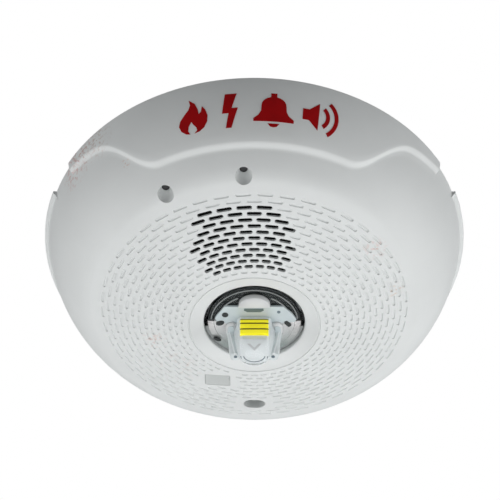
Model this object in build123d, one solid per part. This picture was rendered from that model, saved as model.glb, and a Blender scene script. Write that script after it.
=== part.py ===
from build123d import *
import math
import os

# A round ceiling-mounted horn strobe. Millimetres. +Z points up to the ceiling, which is at zero height.
# The front, -Y, is the grille side. Plan angles are counted from the front towards +X.

# Outer cover
RIM_RADIUS = 86.5
RIM_Z = -2.0
FACE_DEPTH = 48.7
FACE_SAG = 12.0
FACE_EDGE_RADIUS = RIM_RADIUS * 0.7676
SKIRT_BULGE_RADIUS = RIM_RADIUS * 0.9364
SKIRT_BULGE_DROP = 0.663
WALL = 2.5
BAND_HEIGHT = 1.4
BAND_ROOT = 0.5
BAND_VALLEY_ANGLE = 32.0
BAND_PEAK_ANGLE = 43.5
BAND_END_ANGLE = 58.0
BAND_GAP_ANGLE = 68.5
BAND_FRONT_DROP = 0.69
BAND_PEAK_DROP = 0.253
BAND_END_DROP = 0.128
BAND_REAR_DROP = 0.075
FACE_Z = -FACE_DEPTH
EDGE_Z = FACE_Z + FACE_SAG
FACE_SPHERE = (FACE_EDGE_RADIUS ** 2 + FACE_SAG ** 2) / (2 * FACE_SAG)
SPHERE_CENTRE_Z = FACE_Z + FACE_SPHERE
CLEAN_CUT = 1.0

# Grille slots, row by row from the outside in: the first slot in steps from the front, and how many are open
SLOTS_PER_TURN = 46
SLOT_STEP = 360 / SLOTS_PER_TURN
SLOT_SHARE = 0.77
SLOT_WIDTH = 1.4
GRILLE_RADIUS = RIM_RADIUS * 0.637
GRILLE_PITCH = RIM_RADIUS * 0.0281
GRILLE_ROWS = (
    (-2.5, 4),
    (-3.0, 5),
    (-2.5, 5),
    (-3.0, 6),
    (-3.5, 6),
    (-4.0, 7),
    (-3.5, 7),
    (-4.0, 7),
    (-3.5, 7),
    (-4.0, 7),
    (-3.5, 7),
)

# Release pockets at the edge of the face
POCKET_ANGLES = (-29.6, -3.4)
POCKET_RADIUS = 3.2
POCKET_HOLE_RADIUS = 1.5
POCKET_STRAIGHT = 1.6
POCKET_DEPTH = 4.4
POCKET_WALL = 1.6
POCKET_FLOOR = 1.8
POCKET_CENTRE = FACE_EDGE_RADIUS + 0.4

# Lens opening and its ledge
LENS_HOLE_RADIUS = 19.9
BEZEL_RADIUS = 25.5
BEZEL_DISH = 2.1
LEDGE_DEPTH = 2.5
LENS_EDGE_Z = FACE_Z + 3.2
LEDGE_Z = LENS_EDGE_Z + LEDGE_DEPTH

# Deep oval hole for the captive screw
SCREW_Y = 50.8
SCREW_HOLE_WIDTH = 9.2
SCREW_HOLE_DEPTH = 6.8
SCREW_TUNNEL_WALL = 1.6

# Setting window
WINDOW_X = -15.0
WINDOW_Y = 32.6
WINDOW_WIDTH = 10.0
WINDOW_HEIGHT = 7.2
WINDOW_PLAY = 0.1
WINDOW_RECESS = 0.15
WINDOW_SEAT = 0.2
WINDOW_FLANGE = 1.2
WINDOW_FLANGE_THICK = 0.8

# Mounting plate
PLATE_RADIUS = RIM_RADIUS - 20.5
PLATE_THICK = 2.6
PLATE_RIM_WIDTH = 2.5
PLATE_RIM_Z = -6.0
WIRE_WIDTH = 40.0
WIRE_DEPTH = 24.0
WIRE_CORNER = 4.0
WIRE_Y = -18.0
BOX_SPACING_X = 88.9
BOX_SPACING_Y = 83.3
BOX_SLOT_LENGTH = 6.6
BOX_SLOT_RADIUS = 2.3

# Pivot hooks and bars
PIVOT_Y = -(RIM_RADIUS - 13.3)
PIVOT_Z = -5.5
BAR_RADIUS = 1.6
HOOK_PLAY = 0.1
HOOK_WALL = 1.7
HOOK_LIP = 0.2
HOOK_INNER_X = 10.0
HOOK_OUTER_X = 19.0
ARM_ROOT = 6.0
EAR_GAP = 1.0
EAR_THICK = 2.0
EAR_COVER = 0.4
EAR_BACK = 6.5
SIDES = (-1, 1)

# Chassis
CHASSIS_RADIUS = RIM_RADIUS - 10.5
CHASSIS_TOP = -12.0
CHASSIS_THICK = 2.5
CHASSIS_BOTTOM = CHASSIS_TOP - CHASSIS_THICK
CHASSIS_RIB_HEIGHT = 1.6
CHASSIS_RIB_WIDTH = 2.0
CHASSIS_RIB_START = 30.0
CHASSIS_RIB_END = PLATE_RADIUS - 5.0
POST_RING = RIM_RADIUS - 16.5
POST_RADIUS = 4.0
POST_ANGLES = (45, 135, 225, 315)
POST_SCREW_RADIUS = 1.5
POST_SCREW_DEPTH = 11.0
THREAD_PLAY = 0.05
SCREW_HEAD_RADIUS = 2.8
SCREW_HEAD_HEIGHT = 2.0
SOCKET_RADIUS = 1.3
SOCKET_DEPTH = 1.2

# Circuit board
BOARD_RADIUS = RIM_RADIUS - 24.5
BOARD_TOP = CHASSIS_BOTTOM - 3.1
BOARD_THICK = 1.6
BOARD_BOTTOM = BOARD_TOP - BOARD_THICK
BOARD_POST_RING = BOARD_RADIUS - 6.0
BOARD_POST_RADIUS = 3.0
BOARD_POST_ANGLES = (30, 150, 210, 330)
BOARD_SCREW_RADIUS = 1.25
BOARD_SCREW_HEAD_RADIUS = 2.6
BOARD_SCREW_HEAD = 1.8
BOARD_SCREW_REACH = CHASSIS_TOP - 0.8
CAPACITOR_RADIUS = 6.0
CAPACITOR_HEIGHT = 13.0
CAPACITOR_PLACES = ((41, -12), (45, 3), (38, 17), (-44, 5))
CAPACITOR_SLEEVE_GROOVE = 0.5
GROOVE_OFFSET = 1.6
GROOVE_HEIGHT = 1.0
COIL_PLACE = (-39, -12)
COIL_OUTER = 7.0
COIL_INNER = 3.0
COIL_HEIGHT = 8.0
CHIP_PLACES = ((31, -27), (27, 26), (-29, 19), (52, -24), (-52, 18))
CHIP_LENGTH = 7.0
CHIP_WIDTH = 5.0
CHIP_HEIGHT = 1.6
CHIP_LEG_THICK = 0.3
CHIP_LEG_REACH = 1.2

# Supply pins, header and the plate's terminals
PIN_COUNT = 5
PIN_PITCH = 8.0
PIN_Y = 14.0
PIN_THICK = 0.8
PIN_WIDTH = 3.0
PIN_TOP = -5.4
HEADER_WIDTH = 37.0
HEADER_DEPTH = 6.0
HEADER_TOP = CHASSIS_TOP - 1.0
HEADER_PLAY = 0.5
BLOCK_HALF_WIDTH = 24.0
BLOCK_BACK_Y = 20.0
BLOCK_FRONT_Y = 0.0
BLOCK_Z = -10.5
PIN_SLOT_HALF_X = 1.3
PIN_SLOT_HALF_Y = 2.7
PIN_SLOT_TOP = -3.4
LEAF_THICK = 0.6
LEAF_HALF_Y = 2.2
LEAF_LOW = -9.8
LEAF_TOP = -3.8
WELL_HALF = 3.2
WELL_BACK_Y = 9.6
WELL_TOP = -5.4
TERMINAL_Y = 6.2
TERMINAL_HEAD_RADIUS = 2.6
TERMINAL_HEAD_LOW = -9.0
TERMINAL_HEAD_TOP = -7.0
TERMINAL_SHANK_RADIUS = 1.4
TERMINAL_SHANK_TOP = -3.4
CLAMP_HALF = 2.9
CLAMP_THICK = 0.8
SLOT_CUT_WIDTH = 0.9
SLOT_CUT_DEPTH = 0.8
SPRING_X = 34.0
SPRING_Y = 20.0
SPRING_LENGTH = 18.0
SPRING_WIDTH = 5.0
SPRING_THICK = 0.5
SPRING_RISE = 6.0
SPRING_FOOT = 4.0

# Captive screw, a number 6 by 32 thread, and its captive washer
SHANK_RADIUS = 1.75
THREAD_BORE = 1.82
INSERT_RADIUS = 3.5
INSERT_LOW = -9.5
INSERT_TOP = -3.0
INSERT_BOSS_RADIUS = 5.0
SCREW_BOSS_RADIUS = 6.0
SCREW_BOSS_BORE = 2.1
SCREW_BOSS_Z = -20.0
SCREW_TRAVEL = 5.558
SCREW_TIP_GAP = 0.6
WASHER_OUTER = 2.95
WASHER_THICK = 0.8
WASHER_GAP = 0.3
HEAD_GAP = 0.1
HEAD_RADIUS = 3.0
HEAD_HEIGHT = 3.0
DRIVE_RADIUS = 1.5
DRIVE_DEPTH = 1.6
SCREW_TIP_Z = INSERT_LOW - SCREW_TIP_GAP
WASHER_TOP = SCREW_BOSS_Z - WASHER_GAP - SCREW_TRAVEL
HEAD_TOP = WASHER_TOP - WASHER_THICK - HEAD_GAP

# Setting slider
SLIDER_TRAVEL = 13.0
STEM_X = -22.0
STEM_Y = 39.0
STEM_HALF_X = 2.0
STEM_HALF_Y = 1.2
STEM_PLAY = 0.4
STEM_TOP = CHASSIS_TOP + 2.2
TAB_HALF_X = 4.0
TAB_HALF_Y = 2.8
TAB_LOW = CHASSIS_TOP + 0.4
FLAG_TOP = FACE_Z + 10.5
FLAG_THICK = 0.8
FLAG_X0 = -30.0
FLAG_X1 = -9.0
FLAG_Y0 = 29.5
FLAG_Y1 = 35.7
GUIDE_MARGIN = 2.2
GUIDE_HEIGHT = 4.8

# Tone selector
TONE_X = 24.0
TONE_Y = 36.0
TONE_RADIUS = 4.0
TONE_PLAY = 0.6
TONE_TOP = CHASSIS_TOP + 0.8
TONE_BODY = 11.0
TONE_BODY_GAP = 0.4
TONE_BODY_HEIGHT = 2.6
TONE_STEM_RADIUS = 1.15
TONE_STEM_PLAY = 0.05
TONE_STEM_DEPTH = 2.0
TONE_SLOT_WIDTH = 1.2
TONE_SLOT_DEPTH = 1.0

# Light source behind the lens
SINK_RADIUS = 22.6
SINK_Z = FACE_Z + 10.7
SINK_THICK = 2.0
SINK_LIP_WIDTH = 4.0
SINK_LIP = 2.2
FIN_COUNT = 12
FIN_HEIGHT = 8.0
FIN_THICK = 1.2
FIN_INNER = 6.0
FIN_OUTER = 16.0
LEG_RING = 19.0
LEG_RADIUS = 2.4
LEG_ANGLES = (45, 135, 225, 315)
LIGHT_BOARD_RADIUS = 14.0
LIGHT_BOARD_THICK = 1.2
LIGHT_BOARD_Z = SINK_Z - LIGHT_BOARD_THICK
LIGHT_SCREW_X = 11.0
LIGHT_SCREW_RADIUS = 0.9
LIGHT_SCREW_HEAD_RADIUS = 1.8
LIGHT_SCREW_HEAD = 1.3
EMITTER_WIDTH = 12.0
EMITTER_DEPTH = 9.6
EMITTER_BASE = 5.4
EMITTER_PAD = 1.2
EMITTER_MARGIN = 0.6
EMITTER_CORNER = 1.0
REFLECTOR_NECK = 7.8
REFLECTOR_NECK_DROP = 1.4
REFLECTOR_MOUTH = 16.4
REFLECTOR_DROP = 3.2
REFLECTOR_WALL = 0.8
GASKET_THICK = 1.0
GASKET_Z = SINK_Z - SINK_LIP - GASKET_THICK
LENS_BODY_RADIUS = 18.4
LENS_WALL = 1.6
LENS_DROP = FACE_DEPTH + 12.6
LENS_SHOULDER = LENS_EDGE_Z + 1.3
LENS_SHOULDER_RADIUS = 16.5
OPTIC_ROOT_RADIUS = 12.0
OPTIC_ROOT_Z = LENS_SHOULDER - 1.8
OPTIC_TIP_RADIUS = 8.5
OPTIC_TIP_Z = -LENS_DROP + 2.5
OPTIC_CROWN_RADIUS = 4.0
WING_INNER_X = 6.0
WING_OUTER_X = 10.8
WING_FRONT_Y = -7.0
WING_BACK_Y = 9.0
WING_Z = LENS_SHOULDER - 13.0
WING_FILLET = 2.0
TOWER_HALF_WIDTH = 6.1
TOWER_FRONT_Y = -13.8
TOWER_BACK_Y = -8.0
TOWER_DROP = 2.8
TOWER_CORNER = 4.0

# Horn driver behind the grille
HORN_X = -5.2
HORN_Y = -41.2
HORN_WIDTH = 39.6
HORN_DEPTH = 31.6
HORN_CORNER = 10.0
HORN_WALL = 1.8
HORN_SEAT_Z = EDGE_Z + 1.4
HORN_FLANGE = 1.6
MESH_THICK = 0.4
MESH_PLAY = 0.3
CUP_RADIUS = 15.6
CUP_WALL = 1.4
CUP_TOP = BOARD_BOTTOM - 1.6
CUP_ROOF = 1.2
SEAT_RADIUS = 12.5
SEAT_THICK = 1.4
DIAPHRAGM_THICK = 0.3
DIAPHRAGM_PLAY = 0.1
DIAPHRAGM_CROWN = 6.0
DIAPHRAGM_RISE = 0.6
POLE_RADIUS = 3.0
POLE_PLATE_RADIUS = 13.0
POLE_PLATE_THICK = 1.2
POLE_GAP = 0.8
COIL_RING_RADIUS = 7.0
COIL_GAP = 1.2
MAGNET_INNER = 8.5
MAGNET_OUTER = 12.5
MAGNET_GAP = 1.8
HORN_PIN_RADIUS = 0.7
HORN_PIN_OFFSET = 6.0

# Blank label on the chassis
LABEL_X = -44.0
LABEL_Y = 22.0
LABEL_WIDTH = 22.0
LABEL_HEIGHT = 12.0
LABEL_CORNER = 1.5
LABEL_THICK = 0.15


def spot(radius, angle):
    """Plan position at a radius and an angle from the front."""
    turn = math.radians(angle)
    return radius * math.sin(turn), -radius * math.cos(turn)


def block(x0, x1, y0, y1, low, high):
    """Upright box between two corners."""
    middle = Pos((x0 + x1) / 2, (y0 + y1) / 2, (low + high) / 2)
    return middle * Box(x1 - x0, y1 - y0, high - low)


def rod(radius, low, high, x=0.0, y=0.0):
    """Upright cylinder."""
    return Pos(x, y, (low + high) / 2) * Cylinder(radius, high - low)


def tube(outer, inner, low, high, x=0.0, y=0.0):
    """Upright ring."""
    return rod(outer, low, high, x, y) - rod(inner, low - CLEAN_CUT, high + CLEAN_CUT, x, y)


def pad(width, depth, corner, low, high, x=0.0, y=0.0):
    """Upright prism with a rounded rectangle plan."""
    return extrude(Pos(x, y, low) * RectangleRounded(width, depth, corner), high - low)


def turned(points, x=0.0, y=0.0):
    """Solid turned about an upright axis from radius and height pairs."""
    outline = Polyline(*[(radius, 0, height) for radius, height in points], close=True)
    return Pos(x, y, 0) * revolve(make_face(outline), Axis.Z)


def group(pieces):
    """Several separate pieces as one node."""
    return Part() + pieces


def write(name, shape):
    """Save one node."""
    export_step(shape, os.path.join("parts", name + ".step"))


def dome_z(radius, inset=0.0):
    """Height of the domed face, or of its inner side, at a radius."""
    sphere = FACE_SPHERE - inset
    return SPHERE_CENTRE_Z - math.sqrt(sphere ** 2 - radius ** 2)


def unit(start, end):
    """Direction from one radius and height pair to another."""
    length = math.dist(start, end)
    return (end[0] - start[0]) / length, (end[1] - start[1]) / length


def skirt_points(inset):
    """Edge, bulge and rim points of the skirt curve, moved inwards by the inset."""
    edge = (FACE_EDGE_RADIUS, EDGE_Z)
    bulge = (SKIRT_BULGE_RADIUS, EDGE_Z * SKIRT_BULGE_DROP)
    rim = (RIM_RADIUS - BAND_HEIGHT, RIM_Z)
    low = unit(edge, bulge)
    high = unit(bulge, rim)
    start = (edge[0] - inset * low[1], edge[1] + inset * low[0])
    end_radius = rim[0] - inset / high[1]
    gap_radius = end_radius - start[0]
    gap_height = RIM_Z - start[1]
    cross = low[0] * high[1] - low[1] * high[0]
    along = (gap_radius * high[1] - gap_height * high[0]) / cross
    corner = (start[0] + along * low[0], start[1] + along * low[1])
    return start, corner, (end_radius, RIM_Z)


def skirt_spot(angle, drop):
    """Point on the skirt at an angle and a share of its height below the rim."""
    height = RIM_Z + EDGE_Z * drop
    edge, bulge, rim = skirt_points(0)
    square = edge[1] - 2 * bulge[1] + rim[1]
    slope = 2 * (bulge[1] - edge[1])
    share = (-slope + math.sqrt(slope ** 2 - 4 * square * (edge[1] - height))) / (2 * square)
    start = (1 - share) ** 2 * edge[0]
    radius = start + 2 * share * (1 - share) * bulge[0] + share ** 2 * rim[0]
    return Vector(*spot(radius, angle), height)


def lift(point):
    """A radius and height pair as a point in the turning plane."""
    return point[0], 0, point[1]


def envelope(inset, top):
    """Everything inside the cover's surface, moved inwards by the inset, up to a level."""
    edge, bulge, rim = skirt_points(inset)
    edge = (edge[0], dome_z(edge[0], inset))
    centre = (0, dome_z(0, inset))
    middle = (edge[0] / 2, dome_z(edge[0] / 2, inset))
    face = ThreePointArc(lift(centre), lift(middle), lift(edge))
    skirt = Bezier(lift(edge), lift(bulge), lift(rim))
    close = Polyline(lift(rim), (0, 0, RIM_Z), lift(centre))
    body = revolve(make_face(Curve() + [face, skirt, close]), Axis.Z)
    if top > RIM_Z:
        body += rod(rim[0], RIM_Z, top)
    return body


def band_piece(start_angle, start_drop, end_angle, end_drop):
    """Length of the raised band, its lower edge running straight between two heights."""
    outer = skirt_points(-BAND_HEIGHT)
    inner = skirt_points(BAND_ROOT)
    outside = Bezier(*[lift(point) for point in outer])
    inside = Bezier(*[lift(point) for point in inner])
    foot = Line(lift(outer[0]), lift(inner[0]))
    head = Line(lift(outer[2]), lift(inner[2]))
    skin = make_face(Curve() + [outside, inside, foot, head])
    sweep_angle = end_angle - start_angle
    piece = Rot(0, 0, start_angle - 90) * revolve(skin, Axis.Z, sweep_angle)
    start = skirt_spot(start_angle, start_drop)
    end = skirt_spot(end_angle, end_drop)
    outwards = Vector(*spot(1, (start_angle + end_angle) / 2), 0)
    normal = (end - start).cross(outwards)
    if normal.Z < 0:
        normal = -normal
    edge = Plane(origin=start, x_dir=end - start, z_dir=normal)
    return split(piece, bisect_by=edge, keep=Keep.TOP)


def raised_band():
    """The proud band round the rim: deep at the front, notched towards the sides, thin at the back."""
    pieces = [band_piece(-BAND_VALLEY_ANGLE, BAND_FRONT_DROP, BAND_VALLEY_ANGLE, BAND_FRONT_DROP)]
    right = (
        (BAND_VALLEY_ANGLE, BAND_FRONT_DROP, BAND_PEAK_ANGLE, BAND_PEAK_DROP),
        (BAND_PEAK_ANGLE, BAND_PEAK_DROP, BAND_END_ANGLE, BAND_END_DROP),
    )
    for start_angle, start_drop, end_angle, end_drop in right:
        pieces.append(band_piece(start_angle, start_drop, end_angle, end_drop))
        pieces.append(band_piece(-end_angle, end_drop, -start_angle, start_drop))
    half_turn = 180
    full_turn = 360
    pieces.append(band_piece(BAND_GAP_ANGLE, BAND_REAR_DROP, half_turn, BAND_REAR_DROP))
    pieces.append(band_piece(half_turn, BAND_REAR_DROP, full_turn - BAND_GAP_ANGLE, BAND_REAR_DROP))
    return pieces


def grille_slots():
    """Cutters for the open slots over the horn."""
    cutters = []
    for row, (first, count) in enumerate(GRILLE_ROWS):
        radius = GRILLE_RADIUS - row * GRILLE_PITCH
        length = SLOT_SHARE * radius * math.radians(SLOT_STEP)
        plan = SlotOverall(length, SLOT_WIDTH)
        bar = extrude(Pos(0, -radius, FACE_Z - CLEAN_CUT) * plan, HORN_SEAT_Z - FACE_Z)
        for number in range(count):
            cutters.append(Rot(0, 0, (first + number) * SLOT_STEP) * bar)
    return cutters


def window_plane(depth):
    """Plane lying in the face at the window, moved into the cover by a depth, its Z facing outwards."""
    radius = math.hypot(WINDOW_X, WINDOW_Y)
    point = Vector(WINDOW_X, WINDOW_Y, dome_z(radius))
    outwards = (point - Vector(0, 0, SPHERE_CENTRE_Z)).normalized()
    across = Vector(1, 0, 0) - outwards * outwards.X
    return Plane(origin=point - outwards * depth, x_dir=across, z_dir=outwards)


def front_cover():
    """Domed cover with its grille, pockets, window, screw tunnel, horn collar and screw posts."""
    outside = envelope(0, RIM_Z)
    shell = outside + raised_band()
    shell -= envelope(WALL, RIM_Z + CLEAN_CUT)
    inner_rise = dome_z(FACE_EDGE_RADIUS, WALL)
    extras = [tube(BEZEL_RADIUS, LENS_HOLE_RADIUS, FACE_Z, LEDGE_Z)]
    collar = pad(
        HORN_WIDTH + 2 * HORN_WALL,
        HORN_DEPTH + 2 * HORN_WALL,
        HORN_CORNER + HORN_WALL,
        FACE_Z,
        HORN_SEAT_Z,
        HORN_X,
        HORN_Y,
    )
    low = FACE_Z - CLEAN_CUT
    opening = pad(HORN_WIDTH, HORN_DEPTH, HORN_CORNER, low, HORN_SEAT_Z + CLEAN_CUT, HORN_X, HORN_Y)
    extras.append(collar - opening)
    for angle in POST_ANGLES:
        extras.append(rod(POST_RADIUS, EDGE_Z, CHASSIS_BOTTOM, *spot(POST_RING, angle)))
    pocket_top = EDGE_Z + POCKET_DEPTH + POCKET_FLOOR
    for angle in POCKET_ANGLES:
        x, y = spot(POCKET_CENTRE, angle)
        extras.append(rod(POCKET_RADIUS + POCKET_WALL, EDGE_Z - WALL, pocket_top, x, y))
    tunnel_top = SCREW_BOSS_Z - WASHER_GAP
    tunnel = SlotOverall(SCREW_HOLE_WIDTH + 2 * SCREW_TUNNEL_WALL, SCREW_HOLE_DEPTH + 2 * SCREW_TUNNEL_WALL)
    extras.append(extrude(Pos(0, SCREW_Y, FACE_Z) * tunnel, tunnel_top - FACE_Z))
    cover = shell + [extra & outside for extra in extras]
    cuts = [rod(LENS_HOLE_RADIUS, FACE_Z - CLEAN_CUT, inner_rise)]
    dish = turned(
        (
            (0, LENS_EDGE_Z),
            (LENS_HOLE_RADIUS, LENS_EDGE_Z),
            (BEZEL_RADIUS, dome_z(BEZEL_RADIUS)),
            (BEZEL_RADIUS, FACE_Z - CLEAN_CUT),
            (0, FACE_Z - CLEAN_CUT),
        )
    )
    cuts.append(dish)
    for angle in POST_ANGLES:
        x, y = spot(POST_RING, angle)
        bore = POST_SCREW_RADIUS + THREAD_PLAY
        cuts.append(rod(bore, CHASSIS_BOTTOM - POST_SCREW_DEPTH, CHASSIS_TOP, x, y))
    for angle in POCKET_ANGLES:
        x, y = spot(POCKET_CENTRE, angle)
        cuts.append(rod(POCKET_RADIUS, FACE_Z, EDGE_Z + POCKET_STRAIGHT, x, y))
        taper = POCKET_DEPTH - POCKET_STRAIGHT
        cone = Cone(POCKET_RADIUS, POCKET_HOLE_RADIUS, taper)
        cuts.append(Pos(x, y, EDGE_Z + POCKET_STRAIGHT + taper / 2) * cone)
        cuts.append(rod(POCKET_HOLE_RADIUS, EDGE_Z, pocket_top + CLEAN_CUT, x, y))
    screw_hole = Pos(0, SCREW_Y, FACE_Z - CLEAN_CUT) * SlotOverall(SCREW_HOLE_WIDTH, SCREW_HOLE_DEPTH)
    cuts.append(extrude(screw_hole, FACE_DEPTH))
    frame = Rectangle(WINDOW_WIDTH + 2 * WINDOW_PLAY, WINDOW_HEIGHT + 2 * WINDOW_PLAY)
    cuts.append(extrude(window_plane(WALL + CLEAN_CUT) * frame, WALL + 2 * CLEAN_CUT))
    cover -= cuts
    cover -= grille_slots()
    return cover


def candela_window():
    """Clear window: a plate in the opening with a flange behind the face."""
    seat = WALL + WINDOW_SEAT
    plate = extrude(window_plane(seat) * Rectangle(WINDOW_WIDTH, WINDOW_HEIGHT), seat - WINDOW_RECESS)
    back = Rectangle(WINDOW_WIDTH + 2 * WINDOW_FLANGE, WINDOW_HEIGHT + 2 * WINDOW_FLANGE)
    flange = extrude(window_plane(seat + WINDOW_FLANGE_THICK) * back, WINDOW_FLANGE_THICK)
    return plate + flange


def box_slots():
    """Cutters for the two pairs of slots that take the electrical box's screws."""
    slot = SlotOverall(BOX_SLOT_LENGTH, 2 * BOX_SLOT_RADIUS)
    bar = extrude(Pos(0, 0, -PLATE_THICK - CLEAN_CUT) * slot, PLATE_THICK + 2 * CLEAN_CUT)
    cutters = []
    for side in SIDES:
        cutters.append(Pos(side * BOX_SPACING_X / 2, 0, 0) * bar)
        cutters.append(Pos(0, side * BOX_SPACING_Y / 2, 0) * Rot(0, 0, 90) * bar)
    return cutters


def hook(side):
    """Arm of the plate with an open cradle for one pivot bar."""
    x0, x1 = sorted((side * HOOK_INNER_X, side * HOOK_OUTER_X))
    inner = BAR_RADIUS + HOOK_PLAY
    outer = inner + HOOK_WALL
    arm = block(x0, x1, PIVOT_Y - outer, -PLATE_RADIUS + ARM_ROOT, -PLATE_THICK, 0)
    leg = block(x0, x1, PIVOT_Y - outer, PIVOT_Y, PIVOT_Z, -PLATE_THICK)
    middle = Pos((x0 + x1) / 2, PIVOT_Y, PIVOT_Z) * Rot(0, 90, 0)
    cradle = middle * Cylinder(outer, x1 - x0)
    above = block(x0, x1, PIVOT_Y, PIVOT_Y + outer, PIVOT_Z, 0)
    lip = block(x0, x1, PIVOT_Y + inner * HOOK_LIP, PIVOT_Y + outer + CLEAN_CUT, PIVOT_Z - outer, PIVOT_Z)
    bore = middle * Cylinder(inner, x1 - x0 + CLEAN_CUT)
    return arm + (leg + cradle - above - lip - bore)


def mounting_plate():
    """Round plate fixed to the ceiling box, with hooks, stiffening rim, wire opening and screw boss."""
    plate = rod(PLATE_RADIUS, -PLATE_THICK, 0)
    plate += tube(PLATE_RADIUS, PLATE_RADIUS - PLATE_RIM_WIDTH, PLATE_RIM_Z, 0)
    plate += rod(INSERT_BOSS_RADIUS, INSERT_LOW, 0, 0, SCREW_Y)
    plate += [hook(side) for side in SIDES]
    plate -= pad(WIRE_WIDTH, WIRE_DEPTH, WIRE_CORNER, -PLATE_THICK - CLEAN_CUT, CLEAN_CUT, 0, WIRE_Y)
    plate -= box_slots()
    return plate - rod(INSERT_RADIUS, INSERT_LOW - CLEAN_CUT, INSERT_TOP, 0, SCREW_Y)


def pin_places():
    """Positions across of the supply pins."""
    return [(number - (PIN_COUNT - 1) / 2) * PIN_PITCH for number in range(PIN_COUNT)]


def terminal_block():
    """Block with a well for each wire and a slot for each pin."""
    body = block(-BLOCK_HALF_WIDTH, BLOCK_HALF_WIDTH, BLOCK_FRONT_Y, BLOCK_BACK_Y, BLOCK_Z, -PLATE_THICK)
    low = BLOCK_Z - CLEAN_CUT
    front = BLOCK_FRONT_Y - CLEAN_CUT
    cuts = []
    for x in pin_places():
        x0 = x - PIN_SLOT_HALF_X
        x1 = x + PIN_SLOT_HALF_X
        half = PIN_SLOT_HALF_Y
        cuts.append(block(x0, x1, PIN_Y - half, PIN_Y + half, low, PIN_SLOT_TOP))
        cuts.append(block(x - WELL_HALF, x + WELL_HALF, front, WELL_BACK_Y, low, WELL_TOP))
        cuts.append(rod(TERMINAL_SHANK_RADIUS, WELL_TOP - CLEAN_CUT, TERMINAL_SHANK_TOP, x, TERMINAL_Y))
    return body - cuts


def terminal_screws():
    """Slotted wire screws in the terminal block."""
    screws = []
    for x in pin_places():
        head = rod(TERMINAL_HEAD_RADIUS, TERMINAL_HEAD_LOW, TERMINAL_HEAD_TOP, x, TERMINAL_Y)
        shank = rod(TERMINAL_SHANK_RADIUS, TERMINAL_HEAD_TOP, TERMINAL_SHANK_TOP, x, TERMINAL_Y)
        half = SLOT_CUT_WIDTH / 2
        end = TERMINAL_HEAD_RADIUS
        slot_top = TERMINAL_HEAD_LOW + SLOT_CUT_DEPTH
        slot = block(x - end, x + end, TERMINAL_Y - half, TERMINAL_Y + half, TERMINAL_HEAD_LOW, slot_top)
        screws.append(head + shank - slot)
    return group(screws)


def terminal_clamps():
    """Square pressure plates under the wire screws' heads."""
    plates = []
    for x in pin_places():
        top = TERMINAL_HEAD_TOP + CLAMP_THICK
        front = TERMINAL_Y - CLAMP_HALF
        back = TERMINAL_Y + CLAMP_HALF
        plate = block(x - CLAMP_HALF, x + CLAMP_HALF, front, back, TERMINAL_HEAD_TOP, top)
        plates.append(plate - rod(TERMINAL_SHANK_RADIUS, TERMINAL_HEAD_TOP, top, x, TERMINAL_Y))
    return group(plates)


def plate_sockets():
    """Pairs of spring leaves that grip the supply pins."""
    leaves = []
    for x in pin_places():
        for side in SIDES:
            wall = x + side * PIN_SLOT_HALF_X
            face = wall - side * LEAF_THICK
            x0, x1 = sorted((wall, face))
            leaves.append(block(x0, x1, PIN_Y - LEAF_HALF_Y, PIN_Y + LEAF_HALF_Y, LEAF_LOW, LEAF_TOP))
    return group(leaves)


def shorting_spring():
    """Arched leaf that joins the loop while the device is off the plate."""
    x0 = SPRING_X
    x1 = SPRING_X + SPRING_LENGTH
    crown_x = (x0 + x1) / 2
    low = -PLATE_THICK - SPRING_RISE
    outer = [(x0 + SPRING_FOOT, -PLATE_THICK), (crown_x, low), (x1 - SPRING_FOOT, -PLATE_THICK)]
    path = ThreePointArc(*[(x, SPRING_Y, z) for x, z in outer])
    inner_arc = ThreePointArc(
        (x0 + SPRING_FOOT + SPRING_THICK, SPRING_Y, -PLATE_THICK),
        (crown_x, SPRING_Y, low + SPRING_THICK),
        (x1 - SPRING_FOOT - SPRING_THICK, SPRING_Y, -PLATE_THICK),
    )
    left = Line(path @ 0, inner_arc @ 0)
    right = Line(path @ 1, inner_arc @ 1)
    arch = extrude(make_face(Curve() + [path, inner_arc, left, right]), SPRING_WIDTH, dir=(0, 1, 0))
    foot_low = -PLATE_THICK - SPRING_THICK
    back = SPRING_Y + SPRING_WIDTH
    foot = SPRING_FOOT + SPRING_THICK
    near = block(x0, x0 + foot, SPRING_Y, back, foot_low, -PLATE_THICK)
    far = block(x1 - foot, x1, SPRING_Y, back, foot_low, -PLATE_THICK)
    return arch + near + far


def plate_insert():
    """Threaded brass insert for the captive screw."""
    return tube(INSERT_RADIUS, THREAD_BORE, INSERT_LOW, INSERT_TOP, 0, SCREW_Y)


def ear(side, inner_x):
    """Upright lug carrying one end of a pivot bar."""
    x0, x1 = sorted((side * inner_x, side * (inner_x + EAR_THICK)))
    reach = BAR_RADIUS + EAR_COVER
    return block(x0, x1, PIVOT_Y - reach, PIVOT_Y + EAR_BACK, CHASSIS_BOTTOM, PIVOT_Z + reach)


def pivot_bars():
    """The two bars the device swings on, each between a pair of lugs."""
    pieces = []
    for side in SIDES:
        inner = HOOK_INNER_X - EAR_GAP - EAR_THICK
        outer = HOOK_OUTER_X + EAR_GAP
        pieces.append(ear(side, inner))
        pieces.append(ear(side, outer))
        middle = side * (inner + outer + EAR_THICK) / 2
        bar = Cylinder(BAR_RADIUS, outer + EAR_THICK - inner)
        pieces.append(Pos(middle, PIVOT_Y, PIVOT_Z) * Rot(0, 90, 0) * bar)
    return pieces


def slider_slot(low, high):
    """Space swept by the slider's stem."""
    x0 = STEM_X - STEM_HALF_X - STEM_PLAY
    x1 = STEM_X + SLIDER_TRAVEL + STEM_HALF_X + STEM_PLAY
    reach = STEM_HALF_Y + STEM_PLAY
    return block(x0, x1, STEM_Y - reach, STEM_Y + reach, low, high)


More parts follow.
